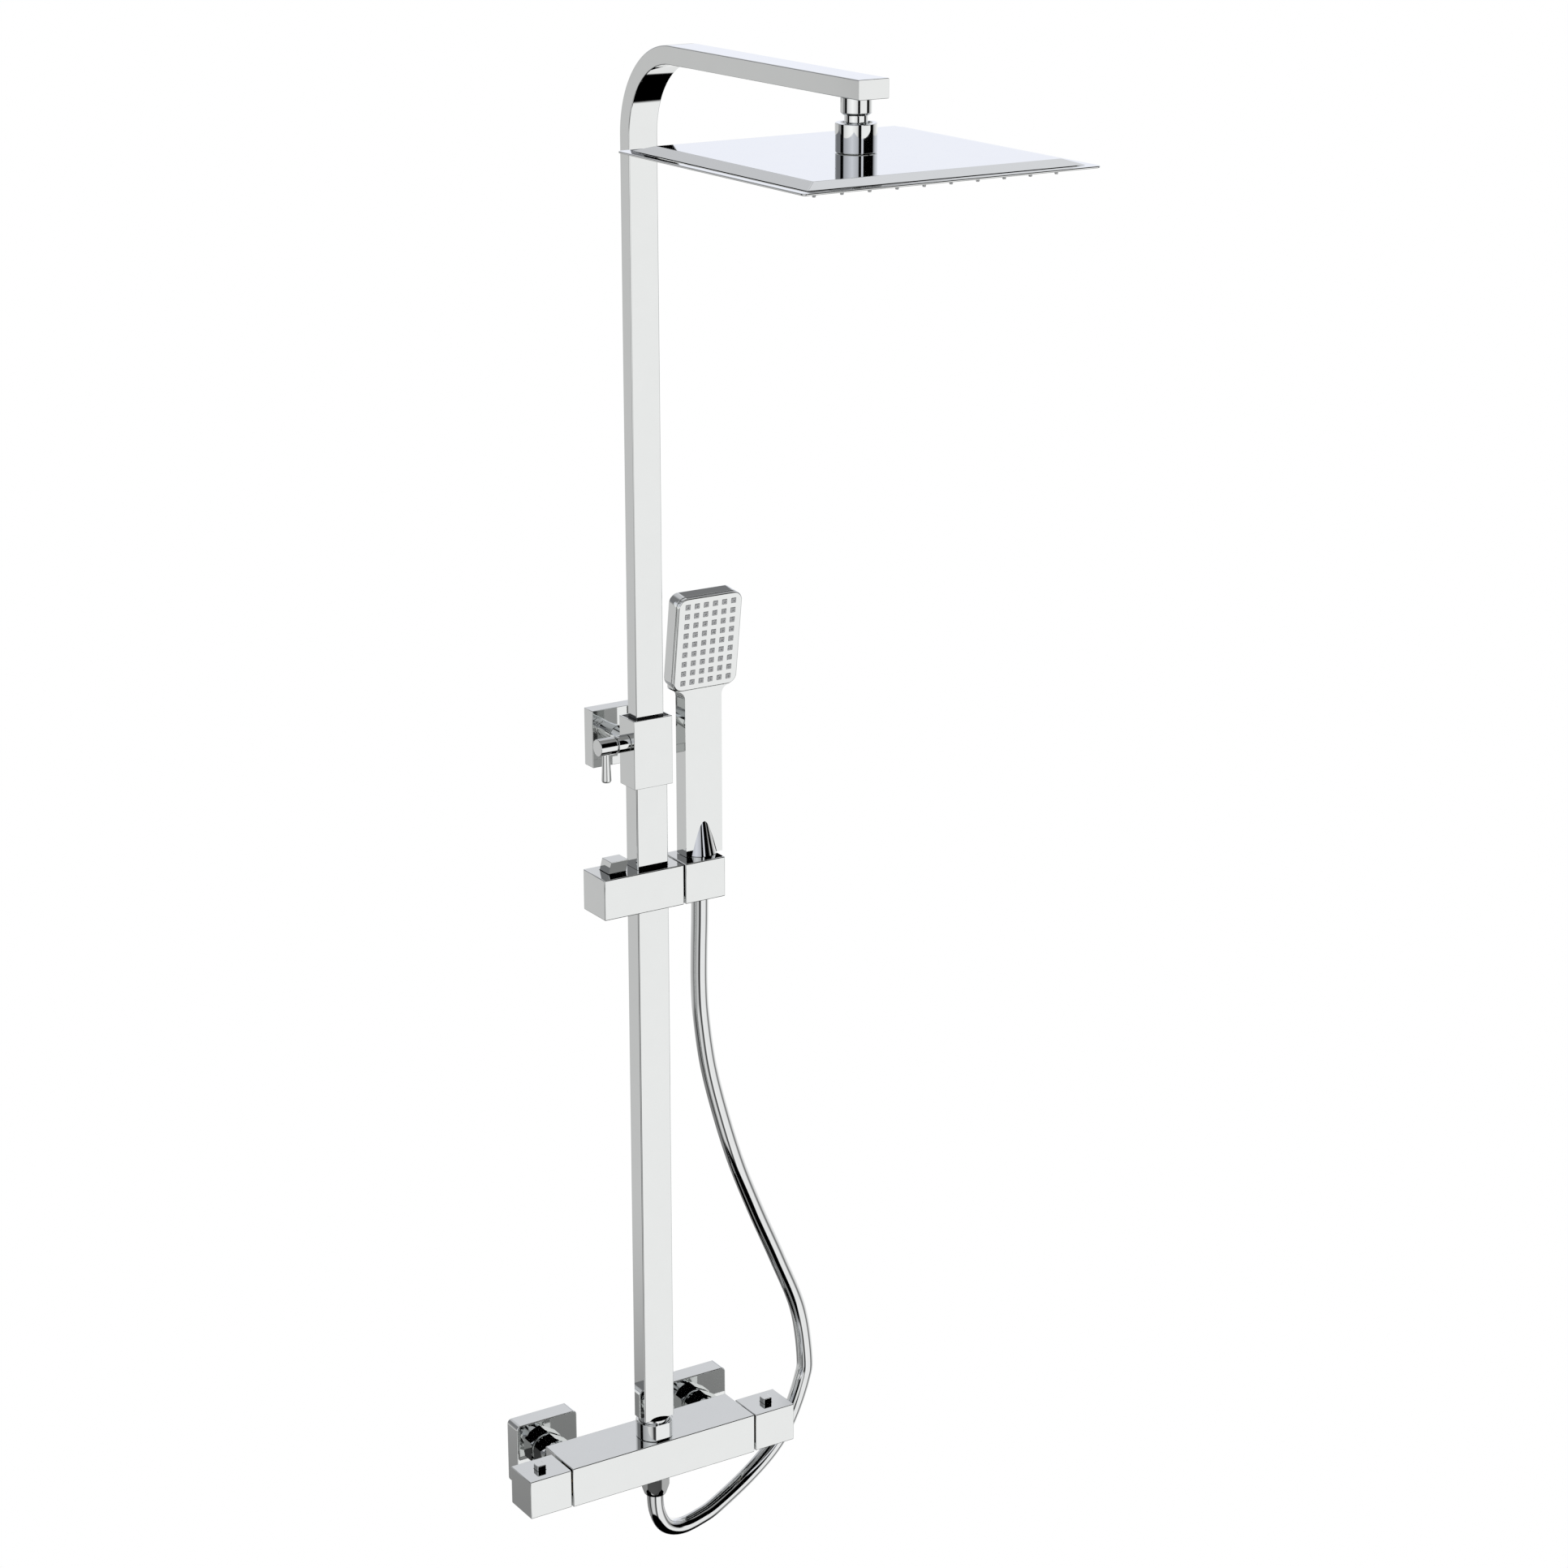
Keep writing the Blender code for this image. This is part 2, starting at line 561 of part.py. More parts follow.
cut(slider, rod(0.0018, -0.0450, -0.0205, "X", (0, lever_y, lever_z), 16),
    "slider_pin_hole")
cut(slider, rod(0.0053, 0.0160, 0.0300, "X", sides=24), "slider_swivel_hole")

lever = piece("release_lever", box((0.0146, 0.0120, 0.0190), (0, -0.0040, -0.0035)),
              "chrome", lever_at)
thumb = bmesh.new()
bmesh.ops.create_cube(thumb, size=1)
for v in thumb.verts:
    high = v.co.z > 0
    v.co = Vector((v.co.x * 0.0161, v.co.y * 0.0152 - (0.0086 if high else 0.0040),
                   SLIDE_H / 2 - lever_z + (0.0117 if high else 0.0003)))
bmesh.ops.bevel(thumb, geom=list(thumb.edges), offset=0.0004, segments=2, profile=0.5,
                affect="EDGES")
add(lever, thumb, "lever_thumb_piece")
cut(lever, rod(0.0018, -0.010, 0.010, "X", sides=16), "lever_pin_hole")
piece("release_pin", rod(0.0015, -0.0445, -0.0208, "X", sides=16),
      "steel", (0, lever_at[1], lever_at[2]))
piece("brake_pad", box((0.0030, 0.0114, 0.0154), (-0.0163, 0, 0)),
      "rubber", (0, RISER_Y, SLIDE_Z))

# holder
piece("swivel_pin", rod(0.0050, 0.0163, 0.0382, "X", sides=24), "steel", slide_at)
piece("friction_washer", rod(0.0125, 0.0246, 0.0256, "X", hole=0.0054), "black", slide_at)
holder = piece("holder_block",
               box((HOLD_RIGHT - HOLD_LEFT, SLIDE_D, SLIDE_H),
                   ((HOLD_LEFT + HOLD_RIGHT) / 2, 0, 0), bevel=0.0008), "chrome", slide_at)
cut(holder, rod(0.0053, 0.0200, 0.0385, "X", sides=24), "holder_swivel_hole")
sy = SET_Y - SLIDE_Y
cut(holder, turn([(0, -0.020), (0.0082, -0.020), (0.0103, 0.020), (0, 0.020)],
                 "Z", (SET_X, sy, 0)), "holder_socket")
cut(holder, box((0.0152, 0.030, 0.040), (SET_X, sy + 0.015, 0)), "holder_slot")

# ---------------------------------------------------------------- handset
SEAT_Z = SLIDE_Z + SLIDE_H / 2 + GAP
set_at = (SET_X, SET_Y, SEAT_Z)
NECK_Z = FACE_Z - FACE_H / 2 * math.cos(FACE_TILT) - SEAT_Z


def grip_outline(top):
    """Handle and flared neck seen from the front, as (x, z), up to `top`."""
    half, flare, steps = GRIP[0] / 2, 0.0080, 6
    right = [(half, 0.0)]
    for i in range(steps + 1):
        a = math.pi - math.pi / 2 * i / steps
        right.append((half + flare + flare * math.cos(a),
                      NECK_Z - 0.0006 - flare + flare * math.sin(a)))
    if top > right[-1][1]:
        right.append((right[-1][0], top))
    return right + [(-x, z) for x, z in reversed(right)]


def flat_solid(name, outline, thick):
    """An outline in X and Z given thickness along Y, centred on Y = 0."""
    curve = bpy.data.curves.new(name, "CURVE")
    curve.dimensions = "2D"
    curve.fill_mode = "BOTH"
    curve.extrude = thick / 2
    line = curve.splines.new("POLY")
    line.points.add(len(outline) - 1)
    for point, (x, z) in zip(line.points, outline):
        point.co = (x, z, 0, 1)
    line.use_cyclic_u = True
    holder_obj = bpy.data.objects.new(name, curve)
    bpy.context.scene.collection.objects.link(holder_obj)
    depsgraph = bpy.context.evaluated_depsgraph_get()
    mesh = bpy.data.meshes.new_from_object(holder_obj.evaluated_get(depsgraph))
    bpy.data.objects.remove(holder_obj, do_unlink=True)
    bm = bmesh.new()
    bm.from_mesh(mesh)
    bpy.data.meshes.remove(mesh)
    bmesh.ops.remove_doubles(bm, verts=bm.verts, dist=1e-6)
    bmesh.ops.dissolve_limit(bm, angle_limit=0.01, verts=bm.verts, edges=bm.edges)
    bmesh.ops.rotate(bm, verts=bm.verts, cent=(0, 0, 0),
                     matrix=Matrix.Rotation(math.pi / 2, 3, "X"))
    bmesh.ops.recalc_face_normals(bm, faces=bm.faces)
    sharp = [e for e in bm.edges if e.calc_face_angle(0) > 1.2]
    bmesh.ops.bevel(bm, geom=sharp, offset=0.0010, segments=2, profile=0.5, affect="EDGES")
    return bm


def tilted(bm):
    """From the spray face's frame to the handset's."""
    move = Matrix.Translation((0, FACE_Y - SET_Y, FACE_Z - SEAT_Z)) \
        @ Matrix.Rotation(FACE_TILT, 4, "X")
    bmesh.ops.transform(bm, matrix=move, verts=bm.verts)
    return bm


def face_box(size, centre, radius, front=0.0):
    """A slab in the spray face's frame: X wide, Z high, Y into the head."""
    bm = box((size[0], size[2], size[1]), upright=radius)
    if front:
        rim = [e for e in bm.edges if e.calc_face_angle(0) > 0.9
               and all(v.co.z > 0 for v in e.verts)]
        bmesh.ops.bevel(bm, geom=rim, offset=front, segments=3, profile=0.5,
                        affect="EDGES")
    bmesh.ops.rotate(bm, verts=bm.verts, cent=(0, 0, 0),
                     matrix=Matrix.Rotation(math.pi / 2, 3, "X"))
    bmesh.ops.translate(bm, vec=centre, verts=bm.verts)
    return bm


shell = piece("handset_shell", flat_solid("grip", grip_outline(0), GRIP[1]), "chrome", set_at)
neck = flat_solid("neck", grip_outline(NECK_Z + 0.0060), 0.0104)
bmesh.ops.translate(neck, vec=(0, 0.0022, 0.0004), verts=neck.verts)
add(shell, neck, "handset_neck")
add(shell, tilted(face_box((FACE_W, 0.0131, FACE_H), (0, 0.01095, 0), 0.0080)),
    "handset_head")
add(shell, tilted(face_box((0.0562, 0.0010, 0.0770), (0, 0.0044, 0), 0.0065)),
    "handset_step")
add(shell, turn([(0, 0), (0.0142, 0), (0.0056, 0.0360), (0, 0.0360)], sides=36),
    "handset_cone")
cut(shell, tilted(face_box((0.0516, 0.0080, 0.0716), (0, 0.0060, 0), 0.0002)),
    "spray_chamber")
cut(shell, rod(0.0042, -0.001, 0.1540, "Z", sides=20), "handset_waterway")

face = piece("handset_face",
             face_box((FACE_W, 0.0036, FACE_H), (0, 0.0018, 0), 0.0080, 0.0012), "chrome",
             (SET_X, FACE_Y, FACE_Z), tilt=FACE_TILT)
COLUMNS, ROWS, STEP_X, STEP_Z = 6, 9, 0.0085, 0.0082
holes = nozzle_grid(COLUMNS, ROWS, STEP_X, STEP_Z, 0.0048, -0.001, 0.0055)
bmesh.ops.rotate(holes, verts=holes.verts, cent=(0, 0, 0),
                 matrix=Matrix.Rotation(-math.pi / 2, 3, "X"))
cut(face, holes, "face_nozzle_holes")
mat = nozzle_mat(COLUMNS, ROWS, STEP_X, STEP_Z, 0.0042, (0.0510, 0.0710), 0.0012, 0.0046,
                 0.0018)
bmesh.ops.rotate(mat, verts=mat.verts, cent=(0, 0, 0),
                 matrix=Matrix.Rotation(-math.pi / 2, 3, "X"))
piece("handset_nozzles", mat, "silicone",
      (SET_X, FACE_Y + 0.0051 * math.cos(FACE_TILT), FACE_Z + 0.0051 * math.sin(FACE_TILT)),
      tilt=FACE_TILT)

piece("hose_cone_nut",
      turn([(0.0074, -0.0340), (0.0079, -0.0340), (0.0099, -0.0006), (0.0099, -GAP),
            (0.0047, -GAP), (0.0047, -0.0200), (0.0074, -0.0200)], sides=32),
      "chrome", set_at)

# ---------------------------------------------------------------- hose
BOTTOM = VALVE_Z - half_h
under_at = (0, RISER_Y, BOTTOM)
piece("hose_outlet",
      turn([(0.0050, 0.0120), (0.0085, 0.0120), (0.0085, -0.0100), (0.0050, -0.0100)],
           sides=24), "brass", under_at)
piece("hose_washer", rod(0.0086, -0.0122, -0.0103, sides=24, hole=0.0052), "rubber", under_at)
hex_nut("hose_nut",
        [(0.0123, -GAP), (0.0123, -0.0100), (0.0118, -0.0148), (0.0104, -0.0186),
         (0.0094, -0.0205)],
        [(0.0088, 0.0010), (0.0088, -0.0125), (0.0075, -0.0125), (0.0075, -0.0220)],
        "Z", under_at, math.radians(27.5))

# centreline of the hose from the handset's nut down and round to the valve's
ROUTE = [
    (0.0523, -0.0660, SEAT_Z - 0.0203), (0.0519, -0.0660, -0.1553),
    (0.0511, -0.0660, -0.1837), (0.0509, -0.0660, -0.2124), (0.0525, -0.0660, -0.2416),
    (0.0589, -0.0660, -0.2867), (0.0706, -0.0660, -0.3334), (0.0858, -0.0659, -0.3817),
    (0.1082, -0.0617, -0.4339), (0.1332, -0.0574, -0.4878), (0.1564, -0.0533, -0.5421),
    (0.1657, -0.0504, -0.5930), (0.1626, -0.0500, -0.6162), (0.1494, -0.0500, -0.6484),
    (0.1313, -0.0519, -0.6712), (0.1019, -0.0554, -0.6910), (0.0652, -0.0620, -0.7061),
    (0.0475, -0.0645, -0.7104), (0.0306, -0.0668, -0.7120), (0.0180, -0.0685, -0.7090),
    (0.0085, -0.0698, -0.7020), (0.0024, -0.0706, -0.6900), (0.0002, -0.0706, -0.6780),
    (0.0000, -0.0706, BOTTOM - 0.0130),
]


def smooth(points, spacing):
    """Points at an even spacing along a smooth curve through `points`."""
    p = [Vector(q) for q in points]
    p = [2 * p[0] - p[1]] + p + [2 * p[-1] - p[-2]]
    fine = []
    for a, b, c, d in zip(p, p[1:], p[2:], p[3:]):
        for i in range(24):
            t = i / 24
            fine.append(0.5 * (2 * b + (c - a) * t + (2 * a - 5 * b + 4 * c - d) * t ** 2
                               + (3 * b - a - 3 * c + d) * t ** 3))
    fine.append(p[-2])
    run = [0.0]
    for a, b in zip(fine, fine[1:]):
        run.append(run[-1] + (b - a).length)
    count = round(run[-1] / spacing)
    out, k = [], 0
    for i in range(count + 1):
        want = run[-1] * i / count
        while k < len(run) - 2 and run[k + 1] < want:
            k += 1
        out.append(fine[k].lerp(fine[k + 1], (want - run[k]) / (run[k + 1] - run[k])))
    return out


curve = bpy.data.curves.new("shower_hose", "CURVE")
curve.dimensions = "3D"
curve.bevel_depth = HOSE_R
curve.bevel_resolution = 3
curve.use_fill_caps = True
line = curve.splines.new("POLY")
centres = smooth(ROUTE, 0.0130)
line.points.add(len(centres) - 1)
for point, where in zip(line.points, centres):
    point.co = (*where, 1)
curve_obj = bpy.data.objects.new("hose_curve", curve)
bpy.context.scene.collection.objects.link(curve_obj)
hose_mesh = bpy.data.meshes.new_from_object(
    curve_obj.evaluated_get(bpy.context.evaluated_depsgraph_get()))
bpy.data.objects.remove(curve_obj, do_unlink=True)
hose = bmesh.new()
hose.from_mesh(hose_mesh)
bpy.data.meshes.remove(hose_mesh)
bmesh.ops.remove_doubles(hose, verts=hose.verts, dist=1e-6)
bmesh.ops.recalc_face_normals(hose, faces=hose.faces)
piece("shower_hose", hose, "chrome")
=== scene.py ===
"""Looks for the rainfall shower column: chrome, studio, smooth rounds and the hose."""

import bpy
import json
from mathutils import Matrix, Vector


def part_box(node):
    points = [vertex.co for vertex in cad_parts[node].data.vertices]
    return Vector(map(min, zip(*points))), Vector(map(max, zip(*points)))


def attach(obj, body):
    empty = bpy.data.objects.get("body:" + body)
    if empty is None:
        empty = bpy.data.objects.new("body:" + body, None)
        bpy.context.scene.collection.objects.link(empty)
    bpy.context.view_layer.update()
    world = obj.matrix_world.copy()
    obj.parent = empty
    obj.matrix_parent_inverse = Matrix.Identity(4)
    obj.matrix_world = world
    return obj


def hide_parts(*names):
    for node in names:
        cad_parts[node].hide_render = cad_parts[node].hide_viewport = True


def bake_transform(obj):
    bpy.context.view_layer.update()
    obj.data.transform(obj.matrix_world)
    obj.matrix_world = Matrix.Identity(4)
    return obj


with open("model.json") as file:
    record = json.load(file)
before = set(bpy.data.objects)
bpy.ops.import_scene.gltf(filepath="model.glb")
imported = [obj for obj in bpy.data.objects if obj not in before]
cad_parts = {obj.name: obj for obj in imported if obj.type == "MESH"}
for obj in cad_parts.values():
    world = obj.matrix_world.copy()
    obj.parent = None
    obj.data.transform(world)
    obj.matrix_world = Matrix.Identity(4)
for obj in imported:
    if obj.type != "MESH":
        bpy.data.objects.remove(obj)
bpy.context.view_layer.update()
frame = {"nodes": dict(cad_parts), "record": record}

import json
import math

import bmesh
import bpy
from mathutils import Matrix, Vector

# ---------------------------------------------------------------- places and sizes
RISER_Y = -0.0706
VALVE_Z = -0.631
VALVE_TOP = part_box("valve_body")[1].z
VALVE_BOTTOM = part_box("valve_body")[0].z
SEAT_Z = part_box("handset_shell")[0].z
HOSE_R = 0.00715
INLET_X = 0.0750
ROSETTE = 0.0585
ROSETTE_DEPTH = 0.0168
KNOB_Z = 0.0080
KNOB_R = 0.0071
UP_TUBE = (0.0252, 0.0140)
UP_BOTTOM = -0.2500
BEND_R = 0.0670
BEND_Z = 0.4892
ARM_END = -0.3912
HEAD = 0.2430
HEAD_Y = -0.3695
RIM_Z = 0.5069
BALL_Z = 0.5222
SET_X = 0.0523
SET_Y = -0.0660
GRIP = (0.0344, 0.0150)
FACE_Y = -0.0817
FACE_Z = 0.0838
FACE_TILT = math.radians(8)
FACE_W = 0.0592
FACE_H = 0.0800
TUBE_WALL = 0.0012
ROSETTE_WALL = 0.0022
COVER_FOOT = 0.1135
COVER_TOP = 0.1015
COVER_LOW = 0.0003
COVER_HIGH = 0.0041
CONE_ZONE = 0.0370

# ---------------------------------------------------------------- camera
camera_data = bpy.data.cameras.new("camera")
camera_data.lens = 82.34
camera_data.sensor_width = 36.0
camera = bpy.data.objects.new("camera", camera_data)
camera.location = (-1.3855, -2.4497, 0.8541)
camera.rotation_euler = (math.radians(90 - 17.81), 0, math.radians(-32.52))
bpy.context.scene.collection.objects.link(camera)
bpy.context.scene.camera = camera
bpy.context.scene.view_settings.view_transform = "Standard"

# ---------------------------------------------------------------- materials


def node(mat, kind, **values):
    """A shader node with some of its inputs or properties set."""
    made = mat.node_tree.nodes.new(kind)
    for key, value in values.items():
        if hasattr(made, key):
            setattr(made, key, value)
        else:
            made.inputs[key.replace("_", " ")].default_value = value
    return made


def surface(name, colour, metallic, rough_low, rough_high, scale, bump=0.0, tint=0.03):
    """Principled material whose colour, roughness and bump vary with fine noise."""
    mat = bpy.data.materials.new(name)
    mat.use_nodes = True
    links = mat.node_tree.links
    bsdf = mat.node_tree.nodes["Principled BSDF"]
    bsdf.inputs["Metallic"].default_value = metallic
    place = node(mat, "ShaderNodeTexCoord")
    noise = node(mat, "ShaderNodeTexNoise", Scale=scale, Detail=4.0)
    links.new(place.outputs["Object"], noise.inputs["Vector"])
    rough = node(mat, "ShaderNodeMapRange", To_Min=rough_low, To_Max=rough_high)
    links.new(noise.outputs["Fac"], rough.inputs["Value"])
    links.new(rough.outputs["Result"], bsdf.inputs["Roughness"])
    ramp = node(mat, "ShaderNodeValToRGB")
    ramp.color_ramp.elements[0].position = 0.3
    ramp.color_ramp.elements[1].position = 0.7
    ramp.color_ramp.elements[0].color = (*[c * (1 - tint) for c in colour], 1)
    ramp.color_ramp.elements[1].color = (*colour, 1)
    links.new(noise.outputs["Fac"], ramp.inputs["Fac"])
    links.new(ramp.outputs["Color"], bsdf.inputs["Base Color"])
    if bump:
        relief = node(mat, "ShaderNodeBump", Strength=bump, Distance=0.0002)
        links.new(noise.outputs["Fac"], relief.inputs["Height"])
        links.new(relief.outputs["Normal"], bsdf.inputs["Normal"])
    return mat


CHROME = surface("mirror_chrome", (0.800, 0.812, 0.806), 1.0, 0.02, 0.05, 60, tint=0.012)
HOSE = surface("hose_silver", (0.780, 0.790, 0.790), 1.0, 0.03, 0.07, 90, tint=0.02)
SILICONE = surface("pale_silicone", (0.74, 0.75, 0.75), 0.0, 0.32, 0.45, 400, 0.1, 0.08)
BLACK = surface("black_moulding", (0.012, 0.012, 0.013), 0.0, 0.38, 0.50, 300, 0.1, 0.20)
RUBBER = surface("black_rubber", (0.020, 0.020, 0.021), 0.0, 0.65, 0.80, 300, 0.2, 0.20)
WHITE = surface("white_moulding", (0.80, 0.80, 0.78), 0.0, 0.35, 0.45, 300, 0.05, 0.04)
BRASS = surface("machined_brass", (0.72, 0.55, 0.27), 1.0, 0.22, 0.34, 200, 0.1, 0.08)
STEEL = surface("zinc_steel", (0.58, 0.58, 0.60), 1.0, 0.25, 0.38, 200, 0.1, 0.08)
FINISH = {"polished_chrome": CHROME, "hose_chrome": HOSE, "silicone": SILICONE,
          "black_plastic": BLACK, "rubber": RUBBER, "white_plastic": WHITE,
          "brass": BRASS, "steel": STEEL}
for part in frame["record"]["subparts"]:
    shown = frame["nodes"][part["node"]]
    shown.data.materials.clear()
    shown.data.materials.append(FINISH[part["material_slot"]])

# ---------------------------------------------------------------- shape tools
BODY_OF = {part: body for body, members in frame["record"]["behaviour"]["bodies"].items()
           for part in members}
SLOT_OF = {part["node"]: part["material_slot"] for part in frame["record"]["subparts"]}
SQUARE_ON = 0.9999                   # least axis part of the normal of a square-on face
ALWAYS_CREASED = 0.84                # turn of an edge in radians
CREASED_BY_FLAT = 0.26               # the same, where only one of its faces is square on
CREASED_BY_CONE = 0.19               # the same, round the cone of the handset


def finish(name, bm, mat, body, replaced=(), sharp=35):
    """Make a piece from `bm`, shade it and let it ride on its body."""
    mesh = bpy.data.meshes.new(name)
    bm.to_mesh(mesh)
    bm.free()
    mesh.materials.clear()
    mesh.materials.append(mat)
    mesh.shade_smooth()
    mesh.set_sharp_from_angle(angle=math.radians(sharp))
    obj = bpy.data.objects.new(name, mesh)
    bpy.context.scene.collection.objects.link(obj)
    even = obj.modifiers.new("flat_faces_stay_flat", "WEIGHTED_NORMAL")
    even.keep_sharp = True
    if body:
        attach(obj, body)
    if replaced:
        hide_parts(*replaced)
    return obj


def stand_in(node_name, bm, sharp=35):
    """A finer piece in the place of one CAD node, with its body and finish."""
    slot = SLOT_OF[node_name]
    return finish("fine_" + node_name, bm, FINISH[slot], BODY_OF[node_name], [node_name],
                  sharp)


def crease(obj, wanted):
    """Mark more edges sharp, where `wanted` says so."""
    bm = bmesh.new()
    bm.from_mesh(obj.data)
    bm.normal_update()
    for edge in bm.edges:
        if edge.smooth and wanted(edge):
            edge.smooth = False
    bm.to_mesh(obj.data)
    bm.free()


def polished(node_name):
    """A CAD node's own shape, its round faces smooth and its flat ones crisp."""
    bm = bmesh.new()
    bm.from_mesh(frame["nodes"][node_name].data)
    bmesh.ops.remove_doubles(bm, verts=bm.verts, dist=2e-6)
    bmesh.ops.dissolve_limit(bm, angle_limit=0.01, verts=bm.verts, edges=bm.edges)
    obj = stand_in(node_name, bm, 48)

    def leaves_a_flat_face(edge):
        square = [max(abs(c) for c in f.normal) > SQUARE_ON for f in edge.link_faces]
        turned = edge.calc_face_angle(9)
        return turned > ALWAYS_CREASED or (sum(square) == 1 and turned > CREASED_BY_FLAT)

    crease(obj, leaves_a_flat_face)
    return obj


def ease(bm, offset, segments=3, over=0.6):
    """Round every edge that turns by more than `over` radians."""
    sharp = [e for e in bm.edges if e.calc_face_angle(0) > over]
    bmesh.ops.bevel(bm, geom=sharp, offset=offset, segments=segments, profile=0.5,
                    affect="EDGES", clamp_overlap=True)
    return bm


def moved(bm, by):
    bmesh.ops.translate(bm, vec=by, verts=bm.verts)
    return bm


def box(size, centre=(0, 0, 0), upright=0.0, steps=10):
    """A box whose Z edges may be rounded."""
    bm = bmesh.new()
    bmesh.ops.create_cube(bm, size=1)
    bmesh.ops.scale(bm, vec=size, verts=bm.verts)
    if upright:
        edges = [e for e in bm.edges
                 if abs(e.verts[0].co.z - e.verts[1].co.z) > size[2] / 2]
        bmesh.ops.bevel(bm, geom=edges, offset=upright, segments=steps, profile=0.5,
                        affect="EDGES")
    return moved(bm, centre)


def turn(profile, axis="Z", centre=(0, 0, 0), sides=96, start=0.0):
    """A turned piece from (radius, height) points, height along `axis`."""
    bm = bmesh.new()
    verts = [bm.verts.new((r * math.cos(start), r * math.sin(start), h)) for r, h in profile]
    pairs = list(zip(verts, verts[1:]))
    if profile[0][0] > 0 or profile[-1][0] > 0:
        pairs.append((verts[-1], verts[0]))
    edges = [bm.edges.new(p) for p in pairs]
    bmesh.ops.spin(bm, geom=verts + edges, cent=(0, 0, 0), axis=(0, 0, 1),
                   angle=math.tau, steps=sides, use_merge=True, use_duplicate=False)
    bmesh.ops.remove_doubles(bm, verts=bm.verts, dist=1e-7)
    bmesh.ops.recalc_face_normals(bm, faces=bm.faces)
    if axis == "X":
        bmesh.ops.transform(bm, matrix=Matrix.Rotation(math.pi / 2, 4, "Y"), verts=bm.verts)
    if axis == "Y":
        bmesh.ops.transform(bm, matrix=Matrix.Rotation(-math.pi / 2, 4, "X"), verts=bm.verts)
    return moved(bm, centre)


def rod(radius, low, high, axis="Z", centre=(0, 0, 0), sides=96):
    return turn([(0, low), (radius, low), (radius, high), (0, high)], axis, centre, sides)


def eased(profile, radius, steps=3):
    """The same profile with its corners off the axis cut to small arcs."""
    out = []
    for k, (r, h) in enumerate(profile):
        closed = profile[0][0] > 0 or profile[-1][0] > 0
        if r <= 0 or (not closed and k in (0, len(profile) - 1)):
            out.append((r, h))
            continue
        here = Vector((r, h))
        before = Vector(profile[k - 1]) - here
        after = Vector(profile[(k + 1) % len(profile)]) - here
        if abs(math.pi - before.angle(after)) < 0.2:
            out.append((r, h))
            continue
        cut = min(radius, before.length * 0.45, after.length * 0.45)
        p, q = here + before.normalized() * cut, here + after.normalized() * cut
        for i in range(steps + 1):
            t = i / steps
            at = p * (1 - t) ** 2 + here * 2 * t * (1 - t) + q * t * t
            out.append((at.x, at.y))
    return out


def combine(shape, tool, how="DIFFERENCE"):
    """Cut, join or intersect two closed shapes."""
    pair = []
    for bm in (shape, tool):
        mesh = bpy.data.meshes.new("scratch")
        bm.to_mesh(mesh)
        bm.free()
        obj = bpy.data.objects.new("scratch", mesh)
        bpy.context.scene.collection.objects.link(obj)
        pair.append(obj)
    mod = pair[0].modifiers.new("combine", "BOOLEAN")
    mod.operation = how
    mod.solver = "EXACT"
    mod.object = pair[1]
    found = pair[0].evaluated_get(bpy.context.evaluated_depsgraph_get())
    result = bpy.data.meshes.new_from_object(found)
    out = bmesh.new()
    out.from_mesh(result)
    meshes = [result] + [obj.data for obj in pair]
    for obj in pair:
        bpy.data.objects.remove(obj, do_unlink=True)
    for mesh in meshes:
        bpy.data.meshes.remove(mesh)
    return out


def merge(shapes):
    """Several separate shapes in one mesh."""
    out = bmesh.new()
    for shape in shapes:
        mesh = bpy.data.meshes.new("scratch")
        shape.to_mesh(mesh)
        shape.free()
        out.from_mesh(mesh)
        bpy.data.meshes.remove(mesh)
    return out


def hex_nut(node_name, across, low, high, round_profile, bore, axis, at, start):
    """A hexagon of `across` corner radius trimmed by a turned outline, with a bore."""
    block = turn([(0, low), (across, low), (across, high), (0, high)], axis, sides=6,
                 start=start)
    nut = combine(block, turn(round_profile, axis, sides=128), "INTERSECT")
    nut = combine(nut, rod(bore, low - 0.001, high + 0.001, axis))
    return stand_in(node_name, moved(nut, at), 24)


def smooth(points, spacing):
    """Points at an even spacing along a smooth curve through `points`."""
    p = [Vector(q) for q in points]
    p = [2 * p[0] - p[1]] + p + [2 * p[-1] - p[-2]]
    fine = []
    for a, b, c, d in zip(p, p[1:], p[2:], p[3:]):
        for i in range(24):
            t = i / 24
            fine.append(0.5 * (2 * b + (c - a) * t + (2 * a - 5 * b + 4 * c - d) * t ** 2
                               + (3 * b - a - 3 * c + d) * t ** 3))
    fine.append(p[-2])
    run = [0.0]
    for a, b in zip(fine, fine[1:]):
        run.append(run[-1] + (b - a).length)
    count = round(run[-1] / spacing)
    out, k = [], 0
    for i in range(count + 1):
        want = run[-1] * i / count
        while k < len(run) - 2 and run[k + 1] < want:
            k += 1
        out.append(fine[k].lerp(fine[k + 1], (want - run[k]) / (run[k + 1] - run[k])))
    return out


